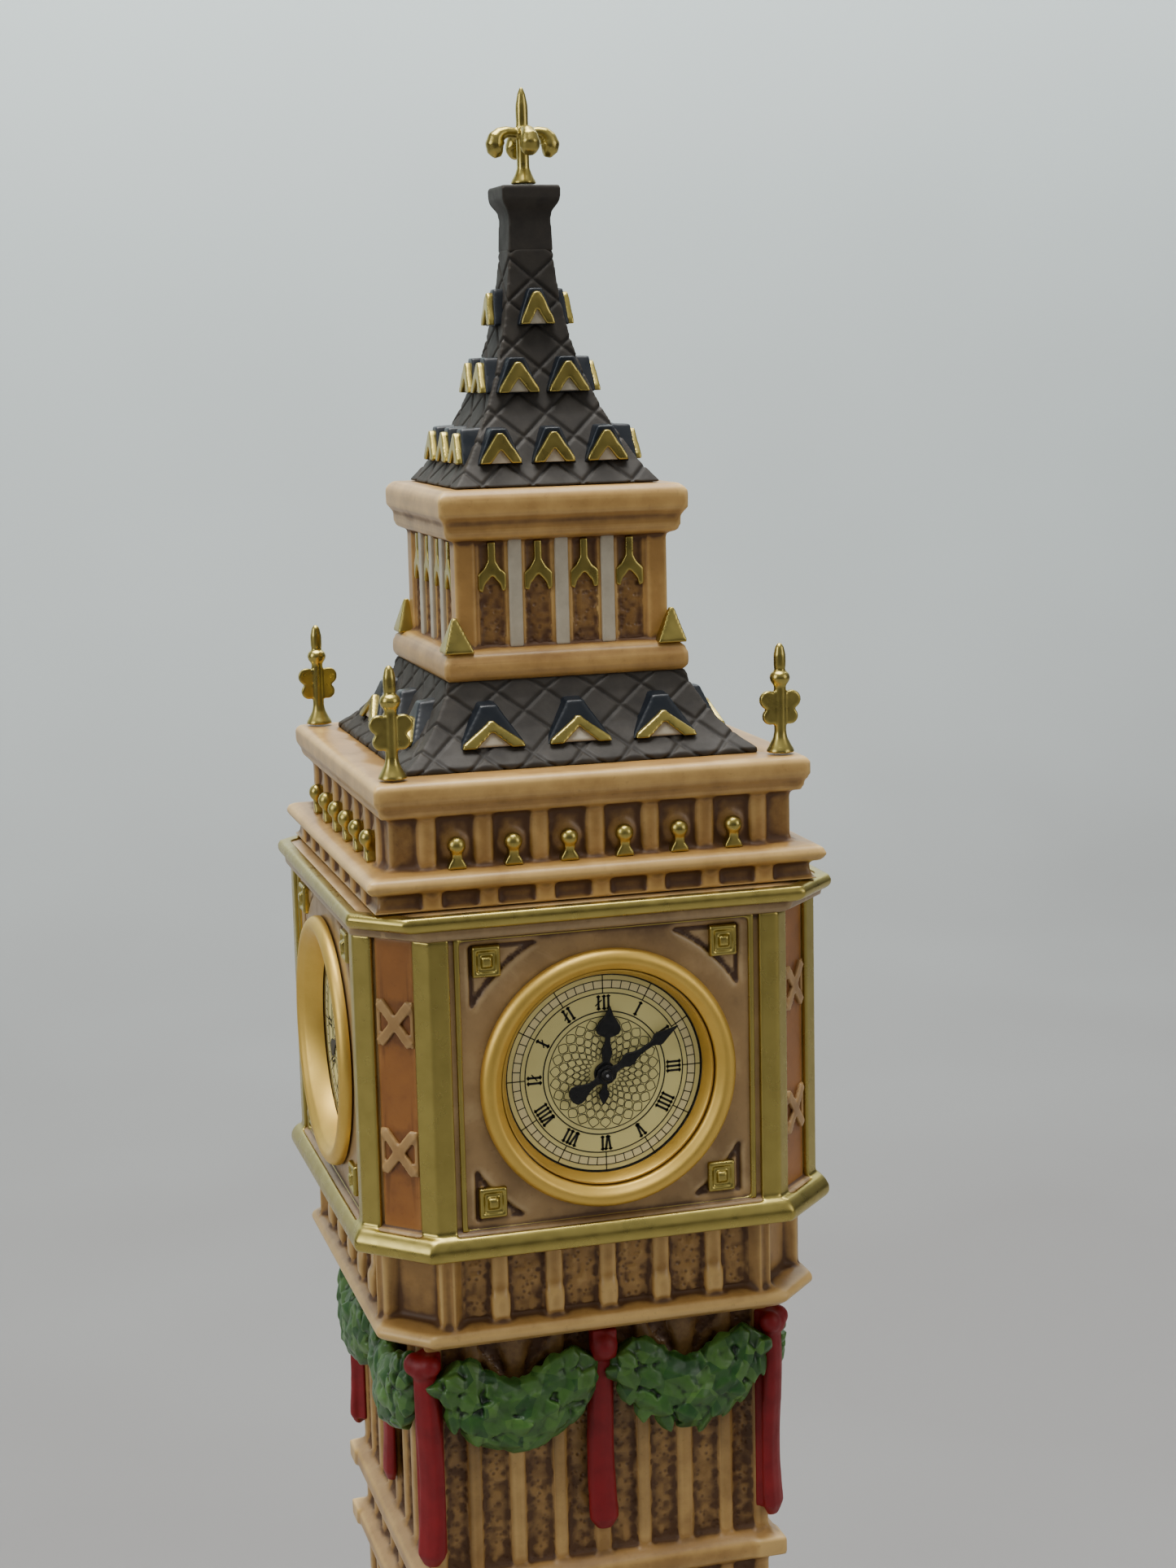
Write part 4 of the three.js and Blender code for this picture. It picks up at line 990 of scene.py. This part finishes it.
def corner_finial(name, x, y):
    parts = [turned([
        (1.95, 0), (1.9, 0.35), (1.45, 1.1), (1.0, 2.0), (0.85, 2.8), (0.85, 9.2), (1.25, 9.7), (1.45, 10.3),
        (1.25, 10.9), (0.75, 11.3), (0.85, 12.0), (0.85, 13.4), (0.6, 14.6), (0.2, 15.1),
    ], 28)]
    for side in (-1, 1):
        for u, v, r in ((1.65, 7.25, 1.3), (1.4, 4.95, 1.15)):
            parts.append(disc(r, -0.5, 0.5, 24, (side * u, 0, v)))
    parts = [moved(part, (x, y, at(42.1))) for part in parts]
    gild(f"finial_metal_{name}", parts, 0.14, 5, 1, [f"finial_{name}"])


# ---------------------------------------------------------------- garlands and ribbons
def swag_line(t, x0, x1):
    belly = 1 - (2 * t - 1) ** 2
    return Vector((x0 + (x1 - x0) * t, 0, at(SWAG_Z - SWAG_DROP * belly))), belly


def leaf(centre, along, out, length, width, thick):
    """A faceted laurel leaf: a keeled lozenge that lies on the garland's surface."""
    along, out = along.normalized(), out.normalized()
    side = along.cross(out).normalized()
    rim = [(-0.5, 0), (-0.18, 0.5), (0.22, 0.42), (0.55, 0), (0.22, -0.42), (-0.18, -0.5)]
    low = [(u, v, -0.7) for u, v in rim]
    mid = [(u, v, thick * (0.25 + 0.35 * (u + 0.5))) for u, v in rim]
    ridge = [(u * 0.6, v * 0.12, thick * (0.75 + 0.4 * (u * 0.6))) for u, v in rim]
    return loft([[
        tuple(centre + along * (length * u) + side * (width * v) + out * lift) for u, v, lift in ring
    ] for ring in (low, mid, ridge)])


def swag_frame(t, x0, x1):
    """A swag's section at t: its middle, the ways along and across it, its half height and its depth."""
    middle, belly = swag_line(t, x0, x1)
    ahead = swag_line(min(t + 0.01, 1), x0, x1)[0] - swag_line(max(t - 0.01, 0), x0, x1)[0]
    ahead.normalize()
    across = Vector((0, -1, 0)).cross(ahead).normalized()
    high, deep = 2.3 + 2.1 * math.sqrt(belly), 1.25 + 0.75 * belly
    return middle - Vector((0, 25.25 + deep, 0)), ahead, across, high, deep


def on_swag(frame_at, a):
    middle, _, across, high, deep = frame_at
    return middle + across * (math.cos(a) * high) - Vector((0, math.sin(a) * deep, 0))


def swag(seed, x0, x1):
    """A thick roll of overlapping leaves that point down towards its middle."""
    rng = np.random.default_rng(seed)
    steps, rows, turns = 22, 5, 9
    angles = [2 * math.pi * (i + 0.5) / 16 for i in range(16)]
    sections = [swag_frame(k / steps, x0, x1) for k in range(steps + 1)]
    parts = [loft([[tuple(on_swag(section, a)) for a in angles] for section in sections])]
    for k in range(turns):
        for i in range(rows):
            t = (k + 0.5 + (0.5 if i % 2 else 0)) / (turns + 0.5) + rng.normal(0, 0.014)
            here = swag_frame(min(max(t, 0.03), 0.97), x0, x1)
            _, ahead, across, high, deep = here
            a = math.pi * (0.02 + 0.96 * (i + 0.5) / rows + rng.normal(0, 0.025))
            out = across * (math.cos(a) / high) - Vector((0, math.sin(a) / deep, 0))
            towards = 1 if t < 0.5 else -1
            lean = ahead * towards + across * rng.normal(0, 0.5) + out.normalized() * rng.normal(0, 0.15)
            size = 0.72 + 0.28 * (high - 2.3) / 2.1
            length, width = size * rng.uniform(3.6, 4.4), size * rng.uniform(2.8, 3.5)
            parts.append(leaf(on_swag(here, a), lean, out, length, width, rng.uniform(0.9, 1.6)))
    return parts


def garlands():
    for i, side in enumerate(SIDES):
        for k, (half, x0, x1) in enumerate((("a", -22.6, -2.6), ("b", 2.6, 22.6))):
            parts = [spun(part, 90 * i) for part in swag(11 + 2 * i + k, x0, x1)]
            obj = cast(f"garland_leaves_{side}_{half}", parts, 0.22, 1)
            place(obj, LEAF, "leaf", [f"garland_{side}_{half}"])


def strip(top, bottom, width0, width1, thick, sway, y0):
    """A hanging ribbon tail, a little wider and rounded at its foot."""
    section = ((-1, 0), (-1.02, 0.45), (-0.7, 0.95), (0, 1.08), (0.7, 0.95), (1.02, 0.45), (1, 0))
    rings = []
    for k in range(19):
        t = k / 18
        z = top + (bottom - top) * t
        half = 0.5 * (width0 + (width1 - width0) * t)
        if t > 0.93:
            half *= math.sqrt(max(0.15, 1 - ((t - 0.93) / 0.08) ** 2))
        x = sway * math.sin(t * math.pi * 1.1) + sway * 0.6 * t
        depth = thick * (1 if t < 0.93 else math.sqrt(max(0.3, 1 - ((t - 0.93) / 0.09) ** 2)))
        swell = 0.25 * math.sin(t * 7.0)
        rings.append([(x + half * u, -(y0 + depth * v + swell * (v > 0)), z) for u, v in section])
    return loft(rings)


def knot_lump(x, z, rx, rz, depth, y0):
    angles = [2 * math.pi * i / 16 for i in range(16)]
    rings = []
    for s in (math.pi * (k + 0.5) / 8 for k in range(8)):
        y = -(y0 + depth * 0.5 - depth * 0.62 * math.cos(s))
        high, wide = rz * math.sin(s), rx * math.sin(s)
        rings.append([(x + wide * math.cos(a), y, z + high * math.sin(a)) for a in angles])
    return loft(rings)


def ribbon(name, parts, angle):
    obj = cast(f"ribbon_strip_{name}", [spun(part, angle) for part in parts], 0.24, 3)
    place(obj, RIBBON, "ribbon", [f"ribbon_{name}"])


def ribbons():
    for i, side in enumerate(SIDES):
        sway = (-0.35, 0.2, -0.25, 0.3)[i]
        ribbon(side, [
            strip(at(-41), at(-68.4), 3.5, 4.3, 1.5, sway, RIBBON_Y),
            relief([(-1.8, at(-42.6)), (1.7, at(-42.5)), (1.9, at(-38.1)), (-1.8, at(-38))],
                   RIBBON_Y, RIBBON_Y + 2.3),
            knot_lump(0, at(-40.6), 2.05, 2.2, 3.2, RIBBON_Y),
        ], 90 * i)
    knot_y = CORNER_RIBBON_Y - 0.4
    for i, (corner, _, _) in enumerate(CORNERS):
        sway = (0.5, -0.4, 0.3, -0.3)[i]
        ribbon(corner, [
            strip(at(-41), at(-70.2), 3.4, 4.4, 1.6, sway, CORNER_RIBBON_Y),
            block(-1.6, 1.6, -36.5, -34, at(-69), at(-39)),
            knot_lump(-1.3, at(-40.5), 1.55, 1.7, 2.6, knot_y),
            knot_lump(1.2, at(-40.4), 1.6, 1.6, 2.6, knot_y),
            knot_lump(0, at(-40.9), 1.9, 1.9, 2.7, knot_y),
        ], -45 + 90 * i)


# ---------------------------------------------------------------- clocks
# A clock part is made with X across, Y up and Z out of the face, about the dial's centre.
def on_face(part, quarter=0):
    points, faces = part
    turned_points = np.stack([points[:, 0], -points[:, 2] - PANEL_Y, points[:, 1] + CLOCK_Z], 1)
    return spun((turned_points, faces), 90 * quarter)


def clock_ring(radius, width, z0, z1):
    r0, r1 = radius - width / 2, radius + width / 2
    return turned([(r0, z0), (r1, z0), (r1, z1), (r0, z1)], 128, True)


def stroke(r0, r1, width, offset=0.0, lean=0.0):
    """A straight stroke from r0 up to r1, moved sideways by offset and leaning by lean."""
    half, low, high = width / 2, offset - lean, offset + lean
    return [(high - half, r1), (high + half, r1), (low + half, r0), (low - half, r0)]


def lozenge(r, offset, size):
    tall = size * 0.75
    return [(offset, r + tall), (offset + size, r), (offset, r - tall), (offset - size, r)]


NUMERALS = ("XII", "I", "II", "III", "IIII", "V", "VI", "VII", "VIII", "IX", "X", "XI")
LETTER_WIDTH = {"I": 0.62, "V": 0.95, "X": 0.95}


def numeral(hour):
    """The strokes of a numeral in narrow gothic letters, its foot towards the centre."""
    text = NUMERALS[hour]
    x, outlines = -sum(LETTER_WIDTH[c] for c in text) / 2, []
    r0, r1 = NUMERAL
    for c in text:
        middle = x + LETTER_WIDTH[c] / 2
        x += LETTER_WIDTH[c]
        for offset, lean in ((-0.2, -0.14), (0.2, 0.14)) if c == "V" else ((0, 0),):
            offset += middle
            serifs = ((r0 + 0.1, offset - lean), (r1 - 0.1, offset + lean))
            outlines.append(stroke(r0, r1, 0.31, offset, lean))
            outlines += [lozenge(r, across, 0.34) for r, across in serifs]
        if c == "X":
            ends = ((-0.5, 9.55), (-0.42, 9.4), (0.5, 10.2), (0.42, 10.35))
            outlines.append([(middle + u, v) for u, v in ends])
    return outlines


def petal(r, length, width, line, z0, z1):
    """The drawn outline of one petal of the dial's rosette, above the centre."""
    def rim(long, wide):
        steps = [i / 6 for i in range(7)]
        right = [(wide * math.sin(math.pi * s ** 0.9), r - long / 2 + long * s) for s in steps]
        return right + [(-x, y) for x, y in right[-2:0:-1]]
    outer, inner = rim(length, width / 2), rim(length - line * 2.6, width / 2 - line)
    rings = [[(*p, z) for p in ring] for ring, z in ((outer, z0), (outer, z1), (inner, z1), (inner, z0))]
    return loft(rings, closed=True)


def dial_print(top):
    """What is printed on a dial, as (ink parts, cream parts), on its surface at height top."""
    z0, z1 = top - 0.02, top + 0.035
    circles = ((13.8, 0.2), (13.0, 0.12), (11.9, 0.12), (11.2, 0.15), (8.65, 0.17), (7.95, 0.12))
    minutes = [(6 * m, stroke(*TRACK, 0.12)) for m in range(60)]
    hours = [(30 * h, outline) for h in range(12) for outline in (stroke(11.2, 13.8, 0.14), *numeral(h))]
    ink = [clock_ring(r, w, z0, z1) for r, w in circles]
    ink += [spun(prism(outline, z0, z1), -angle) for angle, outline in minutes + hours]
    petals = 26  # in each ring of the rosette
    rosette = ((7.0, 1.6), (5.9, 1.5), (4.9, 1.4), (4.0, 1.3), (3.2, 1.1), (2.5, 0.9))
    for ring, (r, length) in enumerate(rosette):
        drawn = petal(r, length, 2 * math.pi * r / petals * 0.94, 0.05 + 0.006 * r, z0, z1)
        ink += [spun(drawn, -360 / petals * (k + 0.5 * (ring % 2))) for k in range(petals)]
    cream = [clock_ring(12.45, 1.0, z0 - 0.02, z0 + 0.03)]
    return ink, cream


# Half outlines of the hands as (half width, distance from the centre), the tail first.
HOUR_HAND = [
    (0.1, -4.2), (0.45, -3.6), (0.8, -2.8), (0.42, -2.2), (0.34, -1.5), (1.0, -1.2), (1.5, -0.6), (1.62, 0),
    (1.5, 0.7), (1.0, 1.25), (0.5, 1.7), (0.62, 2.4), (0.75, 3.0), (0.6, 3.6), (0.38, 4.4), (0.36, 5.1),
    (0.9, 5.3), (1.5, 5.6), (1.75, 6.1), (1.7, 6.6), (1.2, 7.4), (0.6, 8.2), (0.3, 8.9), (0.05, 9.5),
]
MINUTE_HAND = [
    (0.5, -5.9), (1.05, -5.6), (1.32, -5.0), (1.25, -4.4), (0.85, -3.6), (0.5, -2.7), (0.4, -1.9),
    (0.6, -1.3), (1.15, -0.8), (1.3, 0), (1.15, 0.8), (0.6, 1.3), (0.42, 2.0), (0.55, 2.7), (0.9, 3.3),
    (0.95, 3.9), (0.6, 4.7), (0.36, 5.6), (0.34, 7.4), (0.5, 7.9), (0.9, 8.4), (0.9, 8.9), (0.55, 10),
    (0.25, 11), (0.04, 11.9),
]


def hand(half, z0, z1):
    outline = [*half, *[(-x, y) for x, y in half[::-1]]]
    inner = [(x - math.copysign(min(abs(x) * 0.3, 0.1), x), y) for x, y in outline]
    return loft([[(*p, z0) for p in outline], [(*p, z1 - 0.06) for p in outline], [(*p, z1) for p in inner]])


def sharp(name, parts, material, slot, nodes=(), body="tower"):
    """Flat pieces with crisp edges."""
    place(finished(mesh_object(name, parts), smooth=False), material, slot, nodes, body)


def smooth_turned(name, part, material, slot, nodes, body="tower"):
    """A turned piece, shaded smooth but for its sharp edges."""
    obj = finished(mesh_object(name, [part]))
    obj.data.set_sharp_from_angle(angle=math.radians(35))
    place(obj, material, slot, nodes, body)


HOUR_AT, MINUTE_AT = -5, -60  # degrees, the time in the photograph
DIAL_TOP = -1.9
BEZEL = [
    (18.0, 0.32), (18.02, 0.75), (17.9, 1.2), (17.6, 1.6), (17.2, 1.85), (16.7, 1.97), (16.3, 1.9),
    (16.1, 1.78), (15.9, 1.6), (15.45, 1.2), (15.25, 1.05), (15.15, 0.85),
]


def printed_dial(prefix, node, card, quarter, body):
    smooth_turned(f"{prefix}dial_card", on_face(card, quarter), DIAL, "dial_paper", [node], body)
    ink, cream = dial_print(DIAL_TOP)
    sharp(f"{prefix}dial_ink", [on_face(part, quarter) for part in ink], INK, "black", body=body)
    cream = [on_face(part, quarter) for part in cream]
    sharp(f"{prefix}dial_track", cream, CREAM, "dial_paper", body=body)


def fixed_clock(side, quarter):
    """A clock that doesn't work, some quarter turns from the front: a gilt ring, a card, fixed hands."""
    ring = turned([*BEZEL, (14.6, 0.2), (14.05, -1.55), (15.1, -1.58), (15.1, 0.32)], 128, True)
    smooth_turned(f"{side}_ring_gilt", on_face(ring, quarter), SATIN, "satin_gold", [f"{side}_ring"])
    card = turned([(0.02, -2.2), (15.0, -2.2), (15.0, DIAL_TOP), (0.02, DIAL_TOP)], 96)
    printed_dial(f"{side}_", f"{side}_dial", card, quarter, "tower")
    hands = [spun(hand(HOUR_HAND, -1.6, -1.4), HOUR_AT), spun(hand(MINUTE_HAND, -1.2, -1.0), MINUTE_AT)]
    hands.append(turned([(0.5, -1.95), (0.5, -0.9), (0.3, -0.8), (0.02, -0.8)], 24))
    sharp(f"{side}_painted_hands", [on_face(part, quarter) for part in hands], BLACK, "black")


def clock_insert():
    body = "clock_insert"
    ring = turned([*BEZEL, (15.2, 0.3), (15.2, -1.65), (15.42, -1.7), (15.45, 0.32)], 160, True)
    smooth_turned("insert_bezel_metal", on_face(ring), SATIN, "satin_gold", ["insert_bezel"], body)
    cone = [(14.95, 0.42), (14.72, 0.45), (14.6, 0.3), (13.95, -1.5), (13.95, -1.6), (14.95, -1.6)]
    cone = turned(cone, 160, True)
    smooth_turned("chapter_ring_metal", on_face(cone), SATIN, "satin_gold", ["chapter_ring"], body)
    lens = turned([(0.02, 0.7), (14.9, 0.7), (14.9, 1.2), (14.6, 1.4), (9, 1.48), (0.02, 1.5)], 96)
    smooth_turned("lens_crystal", on_face(lens), LENS, "lens", ["lens"], body)
    card = turned([(1.5, -2.3), (13.9, -2.3), (13.9, DIAL_TOP), (1.5, DIAL_TOP)], 96, True)
    printed_dial("", "dial", card, 0, body)

    blade = on_face(spun(hand(HOUR_HAND, -1.5, -1.22), HOUR_AT))
    sharp("hour_hand_blade", [blade], BLACK, "black", ["hour_hand"], "hour_pipe")
    hub = [(0.22, -0.8), (0.85, -0.8), (0.85, -0.4), (0.7, -0.22), (0.26, -0.22), (0.22, -0.3)]
    minute = [hand(MINUTE_HAND, -0.95, -0.68), turned(hub, 32, True)]
    minute = [on_face(spun(part, MINUTE_AT)) for part in minute]
    sharp("minute_hand_blade", minute, BLACK, "black", ["minute_hand"], "minute_arbor")


def cad_materials():
    """The movement's pieces keep their CAD shapes."""
    looks = {
        "movement_case": CASE, "rear_cover": CASE, "battery_hatch": CASE, "gasket": RUBBER,
        "hour_wheel": BRASS, "cannon_pinion": STEEL, "minute_wheel": BRASS, "setting_knob": BLACK,
        "button_cell": STEEL, "circuit_board": BOARD, "motor_coil": COPPER,
    }
    for node, material in looks.items():
        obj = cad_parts[node]
        obj.data.materials.clear()
        obj.data.materials.append(material)


# ---------------------------------------------------------------- assembly
camera()
stage()
plinth()
lower_shaft()
upper_shaft()
corbel_stage()
clock_stage()
clock_stage_gilding()
gallery()
lower_roof()
belfry()
spire()
top_finial()
for corner_name, sign_x, sign_y in CORNERS:
    corner_finial(corner_name, sign_x * FINIAL_AT, sign_y * FINIAL_AT)
garlands()
ribbons()
for side_quarter in (1, 2, 3):
    fixed_clock(SIDES[side_quarter], side_quarter)
clock_insert()
cad_materials()
